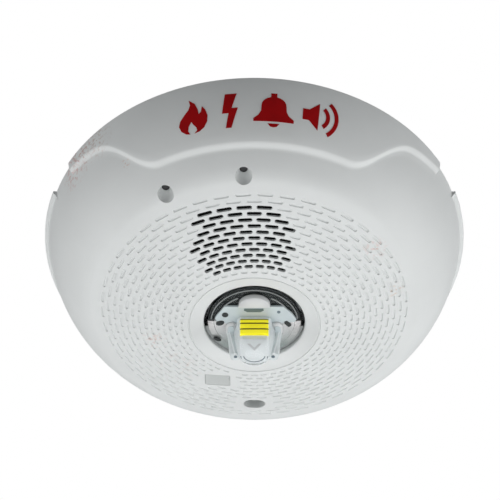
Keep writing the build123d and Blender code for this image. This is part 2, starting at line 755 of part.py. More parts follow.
def chassis():
    """Disc that carries everything, with ribs, posts, pivot bars and the screw boss."""
    disc = rod(CHASSIS_RADIUS, CHASSIS_BOTTOM, CHASSIS_TOP)
    rib_top = CHASSIS_TOP + CHASSIS_RIB_HEIGHT
    pieces = [tube(CHASSIS_RADIUS, CHASSIS_RADIUS - CHASSIS_RIB_WIDTH, CHASSIS_BOTTOM, rib_top)]
    half = CHASSIS_RIB_WIDTH / 2
    for side in SIDES:
        x0, x1 = sorted((side * CHASSIS_RIB_START, side * CHASSIS_RIB_END))
        pieces.append(block(x0, x1, -half, half, CHASSIS_BOTTOM, rib_top))
    for angle in BOARD_POST_ANGLES:
        pieces.append(rod(BOARD_POST_RADIUS, BOARD_TOP, CHASSIS_BOTTOM, *spot(BOARD_POST_RING, angle)))
    pieces.append(rod(SCREW_BOSS_RADIUS, SCREW_BOSS_Z, CHASSIS_BOTTOM, 0, SCREW_Y))
    body = disc + pieces + pivot_bars()
    top = rib_top + CLEAN_CUT
    cuts = [rod(SCREW_BOSS_BORE, SCREW_BOSS_Z - CLEAN_CUT, top, 0, SCREW_Y)]
    cuts.append(slider_slot(CHASSIS_BOTTOM - CLEAN_CUT, top))
    cuts.append(rod(TONE_RADIUS + TONE_PLAY, CHASSIS_BOTTOM - CLEAN_CUT, top, TONE_X, TONE_Y))
    half_x = HEADER_WIDTH / 2 + HEADER_PLAY
    half_y = HEADER_DEPTH / 2 + HEADER_PLAY
    cuts.append(block(-half_x, half_x, PIN_Y - half_y, PIN_Y + half_y, CHASSIS_BOTTOM - CLEAN_CUT, top))
    for angle in POST_ANGLES:
        x, y = spot(POST_RING, angle)
        cuts.append(rod(POST_SCREW_RADIUS + THREAD_PLAY, CHASSIS_BOTTOM - CLEAN_CUT, top, x, y))
    for angle in BOARD_POST_ANGLES:
        x, y = spot(BOARD_POST_RING, angle)
        cuts.append(rod(BOARD_SCREW_RADIUS + THREAD_PLAY, BOARD_TOP - CLEAN_CUT, BOARD_SCREW_REACH, x, y))
    for side in SIDES:
        x0, x1 = sorted((side * (HOOK_INNER_X - EAR_GAP), side * (HOOK_OUTER_X + EAR_GAP)))
        back = PIVOT_Y + EAR_BACK
        cuts.append(block(x0, x1, -RIM_RADIUS, back, CHASSIS_TOP, PIVOT_Z - BAR_RADIUS - HOOK_PLAY))
    return body - cuts


def chassis_screws():
    """Screws that hold the cover to the chassis."""
    screws = []
    for angle in POST_ANGLES:
        x, y = spot(POST_RING, angle)
        head = rod(SCREW_HEAD_RADIUS, CHASSIS_TOP, CHASSIS_TOP + SCREW_HEAD_HEIGHT, x, y)
        shank = rod(POST_SCREW_RADIUS, CHASSIS_BOTTOM - POST_SCREW_DEPTH, CHASSIS_TOP, x, y)
        top = CHASSIS_TOP + SCREW_HEAD_HEIGHT
        screws.append(head + shank - rod(SOCKET_RADIUS, top - SOCKET_DEPTH, top, x, y))
    return group(screws)


def main_pcb():
    """Round circuit board under the chassis."""
    board = rod(BOARD_RADIUS, BOARD_BOTTOM, BOARD_TOP)
    low = BOARD_BOTTOM - CLEAN_CUT
    high = BOARD_TOP + CLEAN_CUT
    cuts = [slider_slot(low, high), rod(SCREW_BOSS_RADIUS + 2 * STEM_PLAY, low, high, 0, SCREW_Y)]
    for angle in BOARD_POST_ANGLES:
        cuts.append(rod(BOARD_SCREW_RADIUS + THREAD_PLAY, low, high, *spot(BOARD_POST_RING, angle)))
    return board - cuts


def pcb_screws():
    """Screws that hold the circuit board to the chassis posts."""
    screws = []
    for angle in BOARD_POST_ANGLES:
        x, y = spot(BOARD_POST_RING, angle)
        low = BOARD_BOTTOM - BOARD_SCREW_HEAD
        head = rod(BOARD_SCREW_HEAD_RADIUS, low, BOARD_BOTTOM, x, y)
        shank = rod(BOARD_SCREW_RADIUS, BOARD_BOTTOM, BOARD_SCREW_REACH, x, y)
        screws.append(head + shank - rod(SOCKET_RADIUS, low, low + SOCKET_DEPTH, x, y))
    return group(screws)


def capacitors():
    """Electrolytic capacitors hanging under the board, each with its crimp groove."""
    cans = []
    for x, y in CAPACITOR_PLACES:
        can = rod(CAPACITOR_RADIUS, BOARD_BOTTOM - CAPACITOR_HEIGHT, BOARD_BOTTOM, x, y)
        top = BOARD_BOTTOM - GROOVE_OFFSET
        waist = CAPACITOR_RADIUS - CAPACITOR_SLEEVE_GROOVE
        low = top - GROOVE_HEIGHT
        groove = rod(CAPACITOR_RADIUS, low, top, x, y) - rod(waist, low, top, x, y)
        cans.append(can - groove)
    return group(cans)


def inductor():
    """Toroidal choke."""
    x, y = COIL_PLACE
    radius = (COIL_OUTER - COIL_INNER) / 4
    ring = tube(COIL_OUTER, COIL_INNER, BOARD_BOTTOM - COIL_HEIGHT, BOARD_BOTTOM, x, y)
    return fillet(ring.edges().filter_by(GeomType.CIRCLE).group_by(Axis.Z)[0], radius)


def ic_chips():
    """Integrated circuits with bars for their rows of legs."""
    chips = []
    for x, y in CHIP_PLACES:
        half = CHIP_LENGTH / 2
        side = CHIP_WIDTH / 2
        body = block(x - half, x + half, y - side, y + side, BOARD_BOTTOM - CHIP_HEIGHT, BOARD_BOTTOM)
        reach = CHIP_WIDTH / 2 + CHIP_LEG_REACH
        span = half - CHIP_LEG_THICK
        legs = block(x - span, x + span, y - reach, y + reach, BOARD_BOTTOM - CHIP_LEG_THICK, BOARD_BOTTOM)
        chips.append(body + legs)
    return group(chips)


def pin_header():
    """Moulded bar that holds the supply pins on the board."""
    half_y = HEADER_DEPTH / 2
    bar = block(-HEADER_WIDTH / 2, HEADER_WIDTH / 2, PIN_Y - half_y, PIN_Y + half_y, BOARD_TOP, HEADER_TOP)
    return bar - contact_pins()


def contact_pins():
    """Flat supply pins that plug into the mounting plate."""
    pins = []
    for x in pin_places():
        half = PIN_THICK / 2
        reach = PIN_WIDTH / 2
        pins.append(block(x - half, x + half, PIN_Y - reach, PIN_Y + reach, BOARD_TOP, PIN_TOP))
    return group(pins)


def candela_slider():
    """Sliding setting piece: thumb tab, stem and the flag behind the window."""
    stem = block(
        STEM_X - STEM_HALF_X,
        STEM_X + STEM_HALF_X,
        STEM_Y - STEM_HALF_Y,
        STEM_Y + STEM_HALF_Y,
        FLAG_TOP - FLAG_THICK,
        STEM_TOP,
    )
    tab = block(
        STEM_X - TAB_HALF_X,
        STEM_X + TAB_HALF_X,
        STEM_Y - TAB_HALF_Y,
        STEM_Y + TAB_HALF_Y,
        TAB_LOW,
        STEM_TOP,
    )
    flag = block(FLAG_X0, FLAG_X1, FLAG_Y0, FLAG_Y1, FLAG_TOP - FLAG_THICK, FLAG_TOP)
    bridge = block(
        STEM_X - STEM_HALF_X,
        STEM_X + STEM_HALF_X,
        FLAG_Y0,
        STEM_Y + STEM_HALF_Y,
        FLAG_TOP - FLAG_THICK,
        FLAG_TOP,
    )
    return stem + [tab, flag, bridge]


def candela_switch_body():
    """Slotted housing on the board that guides the slider's stem."""
    x0 = STEM_X - STEM_HALF_X - GUIDE_MARGIN
    x1 = STEM_X + SLIDER_TRAVEL + STEM_HALF_X + GUIDE_MARGIN
    reach = STEM_HALF_Y + GUIDE_MARGIN
    low = BOARD_BOTTOM - GUIDE_HEIGHT
    body = block(x0, x1, STEM_Y - reach, STEM_Y + reach, low, BOARD_BOTTOM)
    return body - slider_slot(low - CLEAN_CUT, BOARD_TOP)


def tone_switch_body():
    """Housing of the rotary tone selector."""
    top = BOARD_TOP + TONE_BODY_HEIGHT
    body = pad(TONE_BODY, TONE_BODY, CHIP_LEG_REACH, BOARD_TOP, top, TONE_X, TONE_Y)
    bore = rod(TONE_STEM_RADIUS + TONE_STEM_PLAY, top - TONE_STEM_DEPTH, top + CLEAN_CUT, TONE_X, TONE_Y)
    return body - bore


def tone_rotor():
    """Slotted rotor of the tone selector, turned from above the chassis."""
    low = BOARD_TOP + TONE_BODY_HEIGHT + TONE_BODY_GAP
    disc = rod(TONE_RADIUS, low, TONE_TOP, TONE_X, TONE_Y)
    stem = rod(TONE_STEM_RADIUS, low - TONE_STEM_DEPTH, low, TONE_X, TONE_Y)
    half = TONE_SLOT_WIDTH / 2
    end = TONE_X + TONE_RADIUS - TONE_SLOT_WIDTH
    slot = block(TONE_X - half, end, TONE_Y - half, TONE_Y + half, TONE_TOP - TONE_SLOT_DEPTH, TONE_TOP)
    return disc + stem - slot


def screw_retainer():
    """Washer that travels with the captive screw."""
    return tube(WASHER_OUTER, THREAD_BORE, WASHER_TOP - WASHER_THICK, WASHER_TOP, 0, SCREW_Y)


def captive_screw():
    """Screw that locks the device to the plate, driven from the oval hole."""
    head_low = HEAD_TOP - HEAD_HEIGHT
    head = rod(HEAD_RADIUS, head_low, HEAD_TOP, 0, SCREW_Y)
    shank = rod(SHANK_RADIUS, HEAD_TOP, SCREW_TIP_Z, 0, SCREW_Y)
    tip = chamfer((head + shank).edges().group_by(Axis.Z)[-1], SHANK_RADIUS / 3)
    drive = extrude(Pos(0, SCREW_Y, head_low) * RegularPolygon(DRIVE_RADIUS, 6), DRIVE_DEPTH)
    return tip - drive


def led_heatsink():
    """Light source carrier: disc with a locating lip, fins above and legs up to the board."""
    top = SINK_Z + SINK_THICK
    body = rod(SINK_RADIUS, SINK_Z, top)
    body += tube(SINK_RADIUS, SINK_RADIUS - SINK_LIP_WIDTH, SINK_Z - SINK_LIP, SINK_Z)
    pieces = []
    half = FIN_THICK / 2
    for number in range(FIN_COUNT):
        turn = Rot(0, 0, number * 360 / FIN_COUNT)
        pieces.append(turn * block(FIN_INNER, FIN_OUTER, -half, half, top, top + FIN_HEIGHT))
    for angle in LEG_ANGLES:
        pieces.append(rod(LEG_RADIUS, top, BOARD_BOTTOM, *spot(LEG_RING, angle)))
    body += pieces
    cuts = []
    for side in SIDES:
        cuts.append(rod(LIGHT_SCREW_RADIUS + THREAD_PLAY, SINK_Z, top - THREAD_PLAY, side * LIGHT_SCREW_X, 0))
    return body - cuts


def led_board():
    """Round metal-core board of the light source."""
    board = rod(LIGHT_BOARD_RADIUS, LIGHT_BOARD_Z, SINK_Z)
    for side in SIDES:
        board -= rod(LIGHT_SCREW_RADIUS + THREAD_PLAY, LIGHT_BOARD_Z, SINK_Z, side * LIGHT_SCREW_X, 0)
    return board


def led_screws():
    """The two screws of the light source board."""
    screws = []
    for side in SIDES:
        x = side * LIGHT_SCREW_X
        head = rod(LIGHT_SCREW_HEAD_RADIUS, LIGHT_BOARD_Z - LIGHT_SCREW_HEAD, LIGHT_BOARD_Z, x, 0)
        shank = rod(LIGHT_SCREW_RADIUS, LIGHT_BOARD_Z, SINK_Z + SINK_THICK / 2, x, 0)
        screws.append(head + shank)
    return group(screws)


def led_emitter():
    """White light emitter: raised base and phosphor pad."""
    low = LIGHT_BOARD_Z - EMITTER_BASE
    base = pad(EMITTER_WIDTH, EMITTER_DEPTH, EMITTER_CORNER, low, LIGHT_BOARD_Z)
    width = EMITTER_WIDTH - 2 * EMITTER_MARGIN
    depth = EMITTER_DEPTH - 2 * EMITTER_MARGIN
    return base + pad(width, depth, EMITTER_CORNER, low - EMITTER_PAD, low)


def reflector():
    """Bright dish round the emitter."""
    top = LIGHT_BOARD_Z
    neck = top - REFLECTOR_NECK_DROP
    mouth = top - REFLECTOR_DROP
    wall = REFLECTOR_WALL
    return turned(
        (
            (REFLECTOR_NECK, top),
            (REFLECTOR_NECK + wall, top),
            (REFLECTOR_NECK + wall, neck),
            (REFLECTOR_MOUTH, mouth + wall),
            (REFLECTOR_MOUTH, mouth),
            (REFLECTOR_NECK, neck),
        )
    )


def lens_outline(inset):
    """Radius and height pairs down the outside of the lens, moved inwards by the inset."""
    return [
        (LENS_BODY_RADIUS - inset, GASKET_Z),
        (LENS_BODY_RADIUS - inset, LENS_SHOULDER + inset / 2),
        (LENS_SHOULDER_RADIUS - inset, LENS_SHOULDER - LENS_WALL / 2 + inset),
        (OPTIC_ROOT_RADIUS - inset, OPTIC_ROOT_Z + inset),
        (OPTIC_TIP_RADIUS - inset, OPTIC_TIP_Z + inset),
        (OPTIC_CROWN_RADIUS - inset / 2, -LENS_DROP + inset),
        (0, -LENS_DROP + inset),
    ]


def lens_tower():
    """Half-round light guide on the grille side of the optic."""
    low = LENS_SHOULDER - TOWER_DROP
    half = TOWER_HALF_WIDTH
    body = block(-half, half, TOWER_FRONT_Y, TOWER_BACK_Y, low, LENS_SHOULDER)
    return fillet(body.edges().filter_by(Axis.Z).group_by(Axis.Y)[0], TOWER_CORNER)


def lens():
    """Clear lens: flange, low shoulder, protruding optic, a wing on each side and a light guide in front."""
    outside = turned(lens_outline(0) + [(0, GASKET_Z)])
    flange = rod(SINK_RADIUS, LEDGE_Z, GASKET_Z)
    wings = []
    for side in SIDES:
        x0, x1 = sorted((side * WING_INNER_X, side * WING_OUTER_X))
        wing = block(x0, x1, WING_FRONT_Y, WING_BACK_Y, WING_Z, OPTIC_ROOT_Z + WING_FILLET * 2)
        wings.append(fillet(wing.edges().group_by(Axis.Z)[0] + wing.edges().filter_by(Axis.Z), WING_FILLET))
    top = GASKET_Z + CLEAN_CUT
    inside = turned(lens_outline(LENS_WALL) + [(0, top), (LENS_BODY_RADIUS - LENS_WALL, top)])
    return outside + [flange, lens_tower()] + wings - inside


def lens_gasket():
    """Sealing ring between the lens flange and the light source carrier."""
    return tube(SINK_RADIUS, SINK_RADIUS - SINK_LIP_WIDTH, GASKET_Z, GASKET_Z + GASKET_THICK)


def horn_frame():
    """Cup of the horn driver with its seat for the diaphragm and its mounting flange."""
    top = HORN_SEAT_Z + HORN_FLANGE
    corner = HORN_CORNER + HORN_WALL
    width = HORN_WIDTH + 2 * HORN_WALL
    depth = HORN_DEPTH + 2 * HORN_WALL
    body = pad(width, depth, corner, HORN_SEAT_Z, top, HORN_X, HORN_Y)
    body += rod(CUP_RADIUS, top, CUP_TOP, HORN_X, HORN_Y)
    body -= rod(SEAT_RADIUS, HORN_SEAT_Z - CLEAN_CUT, top + SEAT_THICK, HORN_X, HORN_Y)
    return body - rod(CUP_RADIUS - CUP_WALL, top + SEAT_THICK, CUP_TOP - CUP_ROOF, HORN_X, HORN_Y)


def seat_z():
    """Level of the seat the diaphragm rests on."""
    return HORN_SEAT_Z + HORN_FLANGE + SEAT_THICK


def horn_diaphragm():
    """Thin metal disc with a raised crown."""
    rim = CUP_RADIUS - CUP_WALL - DIAPHRAGM_PLAY
    low = seat_z()
    top = low + DIAPHRAGM_THICK
    return turned(
        (
            (0, low - DIAPHRAGM_RISE),
            (DIAPHRAGM_CROWN, low),
            (rim, low),
            (rim, top),
            (DIAPHRAGM_CROWN, top),
            (0, top - DIAPHRAGM_RISE),
        ),
        HORN_X,
        HORN_Y,
    )


def pole_z():
    """Underside of the pole plate."""
    return CUP_TOP - CUP_ROOF - POLE_PLATE_THICK


def horn_pole():
    """Iron plate and core in the middle of the coil."""
    plate = rod(POLE_PLATE_RADIUS, pole_z(), CUP_TOP - CUP_ROOF, HORN_X, HORN_Y)
    return plate + rod(POLE_RADIUS, seat_z() + DIAPHRAGM_THICK + POLE_GAP, pole_z(), HORN_X, HORN_Y)


def horn_coil():
    """Wound coil round the core."""
    low = seat_z() + DIAPHRAGM_THICK + COIL_GAP
    return tube(COIL_RING_RADIUS, POLE_RADIUS, low, pole_z(), HORN_X, HORN_Y)


def horn_magnet():
    """Ring magnet round the coil."""
    return tube(MAGNET_OUTER, MAGNET_INNER, seat_z() + DIAPHRAGM_THICK + MAGNET_GAP, pole_z(), HORN_X, HORN_Y)


def acoustic_mesh():
    """Thin screen across the horn collar."""
    width = HORN_WIDTH - 2 * MESH_PLAY
    depth = HORN_DEPTH - 2 * MESH_PLAY
    return pad(width, depth, HORN_CORNER - MESH_PLAY, HORN_SEAT_Z - MESH_THICK, HORN_SEAT_Z, HORN_X, HORN_Y)


def horn_contacts():
    """Two pins from the driver to the board."""
    pins = []
    for side in SIDES:
        pins.append(rod(HORN_PIN_RADIUS, CUP_TOP, BOARD_BOTTOM, HORN_X + side * HORN_PIN_OFFSET, HORN_Y))
    return group(pins)


def rating_label():
    """Blank label on the chassis."""
    top = CHASSIS_TOP + LABEL_THICK
    return pad(LABEL_WIDTH, LABEL_HEIGHT, LABEL_CORNER, CHASSIS_TOP, top, LABEL_X, LABEL_Y)


NODES = (
    mounting_plate,
    terminal_block,
    terminal_screws,
    terminal_clamps,
    plate_sockets,
    shorting_spring,
    plate_insert,
    front_cover,
    chassis,
    chassis_screws,
    main_pcb,
    pcb_screws,
    capacitors,
    inductor,
    ic_chips,
    pin_header,
    contact_pins,
    candela_slider,
    candela_switch_body,
    candela_window,
    tone_switch_body,
    tone_rotor,
    screw_retainer,
    captive_screw,
    led_heatsink,
    led_board,
    led_screws,
    led_emitter,
    reflector,
    lens,
    lens_gasket,
    horn_frame,
    horn_diaphragm,
    horn_pole,
    horn_coil,
    horn_magnet,
    acoustic_mesh,
    horn_contacts,
    rating_label,
)

os.makedirs("parts", exist_ok=True)
for make in NODES:
    write(make.__name__, make())
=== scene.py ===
import math

import bmesh
import bpy
import numpy as np
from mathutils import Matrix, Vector


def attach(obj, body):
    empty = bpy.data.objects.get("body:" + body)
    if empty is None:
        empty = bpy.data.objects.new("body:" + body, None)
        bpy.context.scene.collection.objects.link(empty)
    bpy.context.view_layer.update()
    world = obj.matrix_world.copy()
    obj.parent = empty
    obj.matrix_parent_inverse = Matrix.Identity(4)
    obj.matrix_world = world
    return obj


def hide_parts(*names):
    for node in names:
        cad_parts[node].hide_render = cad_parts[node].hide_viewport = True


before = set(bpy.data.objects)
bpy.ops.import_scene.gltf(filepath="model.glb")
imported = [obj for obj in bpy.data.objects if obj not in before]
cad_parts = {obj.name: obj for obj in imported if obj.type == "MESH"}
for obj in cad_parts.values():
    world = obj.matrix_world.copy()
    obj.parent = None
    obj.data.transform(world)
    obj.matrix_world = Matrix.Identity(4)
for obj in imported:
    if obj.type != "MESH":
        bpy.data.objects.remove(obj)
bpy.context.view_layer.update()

MM = 0.001

# The cover's shape, in millimetres
WALL = 2.5
FACE_Z, EDGE_Z, RIM_Z = -48.7, -36.7, -2.0
FACE_EDGE, BULGE, RIM = 66.4, (81.0, -24.33), 85.1
BAND = 1.38
BAND_LINE = ((0, -28.1), (31.6, -28.1), (43.4, -10.6), (58.0, -6.4), (70.0, -6.4))
BAND_END, GAP_END, REAR_LINE = 58.0, 68.5, -3.5
BAND_ROUND = 3.6
BAND_STEP, REAR_STEP = 1.25, 0.5
COLUMN_GAP, COLUMN_PAIR = 0.45, 0.12
BEND_INSET, BEND_END, TIP_START = 2.0, 0.08, 0.985
LIP, LIP_STEPS = 0.35, (1, 2, 3)
SAG = EDGE_Z - FACE_Z
SPHERE = (FACE_EDGE ** 2 + SAG ** 2) / (2 * SAG)
SPHERE_Z = FACE_Z + SPHERE
LENS_HOLE, LENS_EDGE_Z, LEDGE_Z = 19.9, -45.5, -43.0
BEZEL = 25.5
SLOTS_ROUND = 46
SLOT_STEP = 360 / SLOTS_ROUND
RING_START, RING_PITCH, RINGS = 59.96, 2.43, 14
GRILLE_ROWS = ((-2.5, 4), (-3, 5), (-2.5, 5), (-3, 6), (-3.5, 6), (-4, 7), (-3.5, 7), (-4, 7), (-3.5, 7),
    (-4, 7), (-3.5, 7))
FIRST_GRILLE_RING = 2
SLOT_SHARE, SLOT_WIDTH = 0.77, 1.4
RECESS_DEPTH = 0.5
OPEN_SLOT_CUT = 4.5
POCKETS, POCKET_RING = (-29.6, -3.4), 66.8
POCKET_BOSS, POCKET_BOSS_TOP, POCKET_HOLE = 4.8, -30.5, 1.5
POCKET_SECTION = ((3.2, FACE_Z - 8), (3.2, -36.2), (3.05, -35.1), (1.6, -32.4), (POCKET_HOLE, -32.2),
    (POCKET_HOLE, -28.0))
POSTS, POST_RING, POST_RADIUS, POST_TOP = (45, 135, 225, 315), 70.0, 4.0, -14.6
SCREW_Y = 50.8
SCREW_TUNNEL, SCREW_TUNNEL_TOP = (12.4, 10.0), -20.35
SCREW_HOLE, SCREW_HOLE_TOP = (9.2, 6.8), -18.0
SCREW_CLEAR = (9.0, 5.2)
WINDOW = (-15.0, 32.6)
WINDOW_SIZE, WINDOW_CORNER, WINDOW_FIT = (10.2, 7.4), 0.5, 0.1
WINDOW_CLEAR = (3.4, 1.6)
HORN_CENTRE = (-5.2, -41.2)
COLLAR, COLLAR_CORNER, COLLAR_TOP = (43.2, 35.2), 11.8, -35.35
HOLLOW, HOLLOW_CORNER, HOLLOW_TOP = (39.6, 31.6), 10.0, -35.0
SCREEN, SCREEN_CORNER, SCREEN_INSET, SCREEN_THICK = (39.2, 31.2), 9.8, 1.2, 0.35
SKIN = 0.02
HEIGHT_STEPS, FINE_STEPS = 40, 180


def dome_z(r, inset=0.0):
    """Height of the domed face, or of a surface inside it."""
    return SPHERE_Z - math.sqrt((SPHERE - inset) ** 2 - r * r)


def spot(r, degrees):
    """Plan point at a radius and an angle from the front."""
    a = math.radians(degrees)
    return r * math.sin(a), -r * math.cos(a)


def skirt(t, offset=0.0):
    """Point on the skirt curve, pushed outwards by an offset."""
    p0, p1, p2 = (FACE_EDGE, EDGE_Z), BULGE, (RIM, RIM_Z)
    r = (1 - t) ** 2 * p0[0] + 2 * t * (1 - t) * p1[0] + t * t * p2[0]
    z = (1 - t) ** 2 * p0[1] + 2 * t * (1 - t) * p1[1] + t * t * p2[1]
    dr = 2 * (1 - t) * (p1[0] - p0[0]) + 2 * t * (p2[0] - p1[0])
    dz = 2 * (1 - t) * (p1[1] - p0[1]) + 2 * t * (p2[1] - p1[1])
    n = math.hypot(dr, dz)
    return r + offset * dz / n, z - offset * dr / n


def skirt_t(z):
    """Curve parameter of a height."""
    low, high = 0.0, 1.0
    for _ in range(HEIGHT_STEPS):
        mid = (low + high) / 2
        if skirt(mid)[1] < z:
            low = mid
        else:
            high = mid
    return (low + high) / 2


def band_edge(angle):
    """Height of the band's lower edge and how proud it stands at an angle from the front."""
    a = abs((angle + 180) % 360 - 180)
    if a < GAP_END:
        near = np.abs(np.linspace(a - BAND_ROUND, a + BAND_ROUND, 13))
        z = float(np.mean(np.interp(near, [p[0] for p in BAND_LINE], [p[1] for p in BAND_LINE])))
        return z, BAND if a <= BAND_END else 0.0
    return REAR_LINE, BAND


def column_angles():
    """Angles of the cover's mesh columns, with close pairs where the band starts or stops."""
    angles = set(float(a) for a in np.arange(-180, 180, 1.0))
    for s in (BAND_END, GAP_END):
        for side in (-1, 1):
            angles = {a for a in angles if abs(a - side * s) > COLUMN_GAP}
            angles.add(side * s - COLUMN_PAIR)
            angles.add(side * s + COLUMN_PAIR)
    return sorted(angles)


def column(angle):
    """Closed outline of the cover's section at an angle: radius and height pairs."""
    points = [(LENS_HOLE, LEDGE_Z), (LENS_HOLE, LENS_EDGE_Z + LIP), (LENS_HOLE + LIP, LENS_EDGE_Z)]
    bezel_z = dome_z(BEZEL)
    for k in LIP_STEPS:
        s = k / 4
        points.append((LENS_HOLE + (BEZEL - LENS_HOLE) * s, LENS_EDGE_Z + (bezel_z + 0.25 - LENS_EDGE_Z) * s))
    points += [(BEZEL - 0.2, bezel_z + 0.12), (BEZEL, bezel_z + 0.5), (BEZEL + 0.35, bezel_z + 0.5)]
    points.append((BEZEL + 0.55, dome_z(BEZEL + 0.55)))
    for r in np.linspace(BEZEL + 1.6, FACE_EDGE - BEND_INSET, 30):
        points.append((float(r), dome_z(float(r))))
    start = (FACE_EDGE - BEND_INSET, dome_z(FACE_EDGE - BEND_INSET))
    end = skirt(BEND_END)
    for k in range(1, 6):
        s = k / 6
        r = (1 - s) ** 2 * start[0] + 2 * s * (1 - s) * FACE_EDGE + s * s * end[0]
        z = (1 - s) ** 2 * start[1] + 2 * s * (1 - s) * EDGE_Z + s * s * end[1]
        points.append((r, z))
    edge_z, proud = band_edge(angle)
    half = BAND_STEP if abs((angle + 180) % 360 - 180) < GAP_END else REAR_STEP
    t_edge = skirt_t(edge_z - half)
    for k in range(0, 11):
        points.append(skirt(BEND_END + (t_edge - BEND_END) * k / 10))
    t_top = skirt_t(edge_z + half)
    for k in range(1, 6):
        s = k / 6
        points.append(skirt(t_edge + (t_top - t_edge) * s, proud * s * s * (3 - 2 * s)))
    for k in range(0, 9):
        points.append(skirt(t_top + (TIP_START - t_top) * k / 8, proud))
    tip = skirt(1.0, proud)
    points += [(tip[0] - 0.05, RIM_Z - 0.15), (tip[0] - 0.35, RIM_Z), (RIM - WALL - 0.1, RIM_Z)]
    for t in (0.8, 0.6, 0.4, 0.2, 0.05):
        points.append(skirt(t, -WALL))
    for r in (60.0, 52.0, 44.0, 36.0, 28.0):
        points.append((r, dome_z(r, WALL)))
    points.append((24.5, LEDGE_Z))
    return points


def new_mesh(name, verts, faces):
    """Mesh from millimetres, with its normals outwards."""
    mesh = bpy.data.meshes.new(name)
    mesh.from_pydata([tuple(float(c) * MM for c in v) for v in verts], [], faces)
    mesh.update()
    bm = bmesh.new()
    bm.from_mesh(mesh)
    bmesh.ops.recalc_face_normals(bm, faces=bm.faces)
    bm.to_mesh(mesh)
    bm.free()
    return mesh


def new_object(name, mesh):
    obj = bpy.data.objects.new(name, mesh)
    bpy.context.scene.collection.objects.link(obj)
    return obj


def smooth(obj, degrees):
    """Smooth shading with edges sharp above an angle."""
    mesh = obj.data
    mesh.polygons.foreach_set("use_smooth", [True] * len(mesh.polygons))
    mesh.set_sharp_from_angle(angle=math.radians(degrees))
    mesh.update()


def boolean(obj, other, operation):
    """Apply one boolean and drop the tool object."""
    mod = obj.modifiers.new("cut", "BOOLEAN")
    mod.operation = operation
    mod.solver = "MANIFOLD"
    mod.object = other
    graph = bpy.context.evaluated_depsgraph_get()
    mesh = bpy.data.meshes.new_from_object(obj.evaluated_get(graph))
    obj.modifiers.clear()
    obj.data = mesh
    bpy.data.objects.remove(other)
    return obj


def revolve_mesh(name, outline, steps):
    """Solid of revolution; an outline point on the axis becomes one vertex."""
    verts, rows = [], []
    for r, z in outline:
        if r < 1e-6:
            verts.append((0.0, 0.0, z))
            rows.append([len(verts) - 1] * steps)
            continue
        row = []
        for i in range(steps):
            a = 2 * math.pi * i / steps
            verts.append((r * math.cos(a), r * math.sin(a), z))
            row.append(len(verts) - 1)
        rows.append(row)
    faces = []
    count = len(rows)
    closed = outline[0][0] > 1e-6 or outline[-1][0] > 1e-6
    for j in range(count if closed else count - 1):
        a, b = rows[j], rows[(j + 1) % count]
        for i in range(steps):
            k = (i + 1) % steps
            quad = [a[i], a[k], b[k], b[i]]
            face = [v for n, v in enumerate(quad) if v not in quad[:n]]
            if len(face) > 2:
                faces.append(face)
    return new_mesh(name, verts, faces)


def prism(outline, low, high):
    """Vertices and faces of an upright prism."""
    n = len(outline)
    verts = [(x, y, low) for x, y in outline] + [(x, y, high) for x, y in outline]
    faces = [list(range(n))[::-1], list(range(n, 2 * n))]
    faces += [[i, (i + 1) % n, n + (i + 1) % n, n + i] for i in range(n)]
    return verts, faces


def stack(sections):
    """Vertices and faces of an upright piece through outlines of equal count at rising heights."""
    n = len(sections[0][0])
    verts = [(x, y, z) for outline, z in sections for x, y in outline]
    faces = [list(range(n))[::-1], [len(verts) - n + i for i in range(n)]]
    for j in range(len(sections) - 1):
        for i in range(n):
            k = (i + 1) % n
            faces.append([j * n + i, j * n + k, (j + 1) * n + k, (j + 1) * n + i])
    return verts, faces


def circle(radius, steps, centre):
    """Round outline."""
    turns = [2 * math.pi * i / steps for i in range(steps)]
    return [(centre[0] + radius * math.cos(a), centre[1] + radius * math.sin(a)) for a in turns]


def obround(length, width, steps=6):
    """Slot outline along X."""
    half, reach = width / 2, (length - width) / 2
    points = []
    for side, start in ((1, -90), (-1, 90)):
        for k in range(steps + 1):
            a = math.radians(start + 180 * k / steps)
            points.append((side * reach + half * math.cos(a), half * math.sin(a)))
    return points


def round_rect(width, depth, radius, steps, centre=(0.0, 0.0)):
    """Rectangle outline with round corners."""
    points = []
    for sx, sy, start in ((1, -1, -90), (1, 1, 0), (-1, 1, 90), (-1, -1, 180)):
        x0, y0 = centre[0] + sx * (width / 2 - radius), centre[1] + sy * (depth / 2 - radius)
        for k in range(steps + 1):
            a = math.radians(start + 90 * k / steps)
            points.append((x0 + radius * math.cos(a), y0 + radius * math.sin(a)))
    return points


def joined(parts):
    """One mesh from several vertex and face lists."""
    verts, faces = [], []
    for v, f in parts:
        base = len(verts)
        verts += v
        faces += [[i + base for i in face] for face in f]
    return verts, faces


def drafted(outline_top, outline_low, place, top, low):
    """Cutter between two outlines in a local frame."""
    n = len(outline_top)
    verts = [place(x, y, low) for x, y in outline_low] + [place(x, y, top) for x, y in outline_top]
    faces = [list(range(n))[::-1], list(range(n, 2 * n))]
    faces += [[i, (i + 1) % n, n + (i + 1) % n, n + i] for i in range(n)]
    return verts, faces


def face_place(r, degrees):
    """Local frame on the dome: x round the ring, y towards the middle, z outwards."""
    a = math.radians(degrees)
    origin = Vector((r * math.sin(a), -r * math.cos(a), dome_z(r)))
    e1 = Vector((math.cos(a), math.sin(a), 0))
    n = (origin - Vector((0, 0, SPHERE_Z))).normalized()
    e2 = n.cross(e1)
    return lambda x, y, z: tuple(origin + e1 * x + e2 * y + n * z)


def window_place():
    """Local frame on the dome at the setting window."""
    r = math.hypot(*WINDOW)
    origin = Vector((WINDOW[0], WINDOW[1], dome_z(r)))
    n = (origin - Vector((0, 0, SPHERE_Z))).normalized()
    e1 = (Vector((1, 0, 0)) - n * n.x).normalized()
    e2 = n.cross(e1)
    return lambda x, y, z: tuple(origin + e1 * x + e2 * y + n * z)


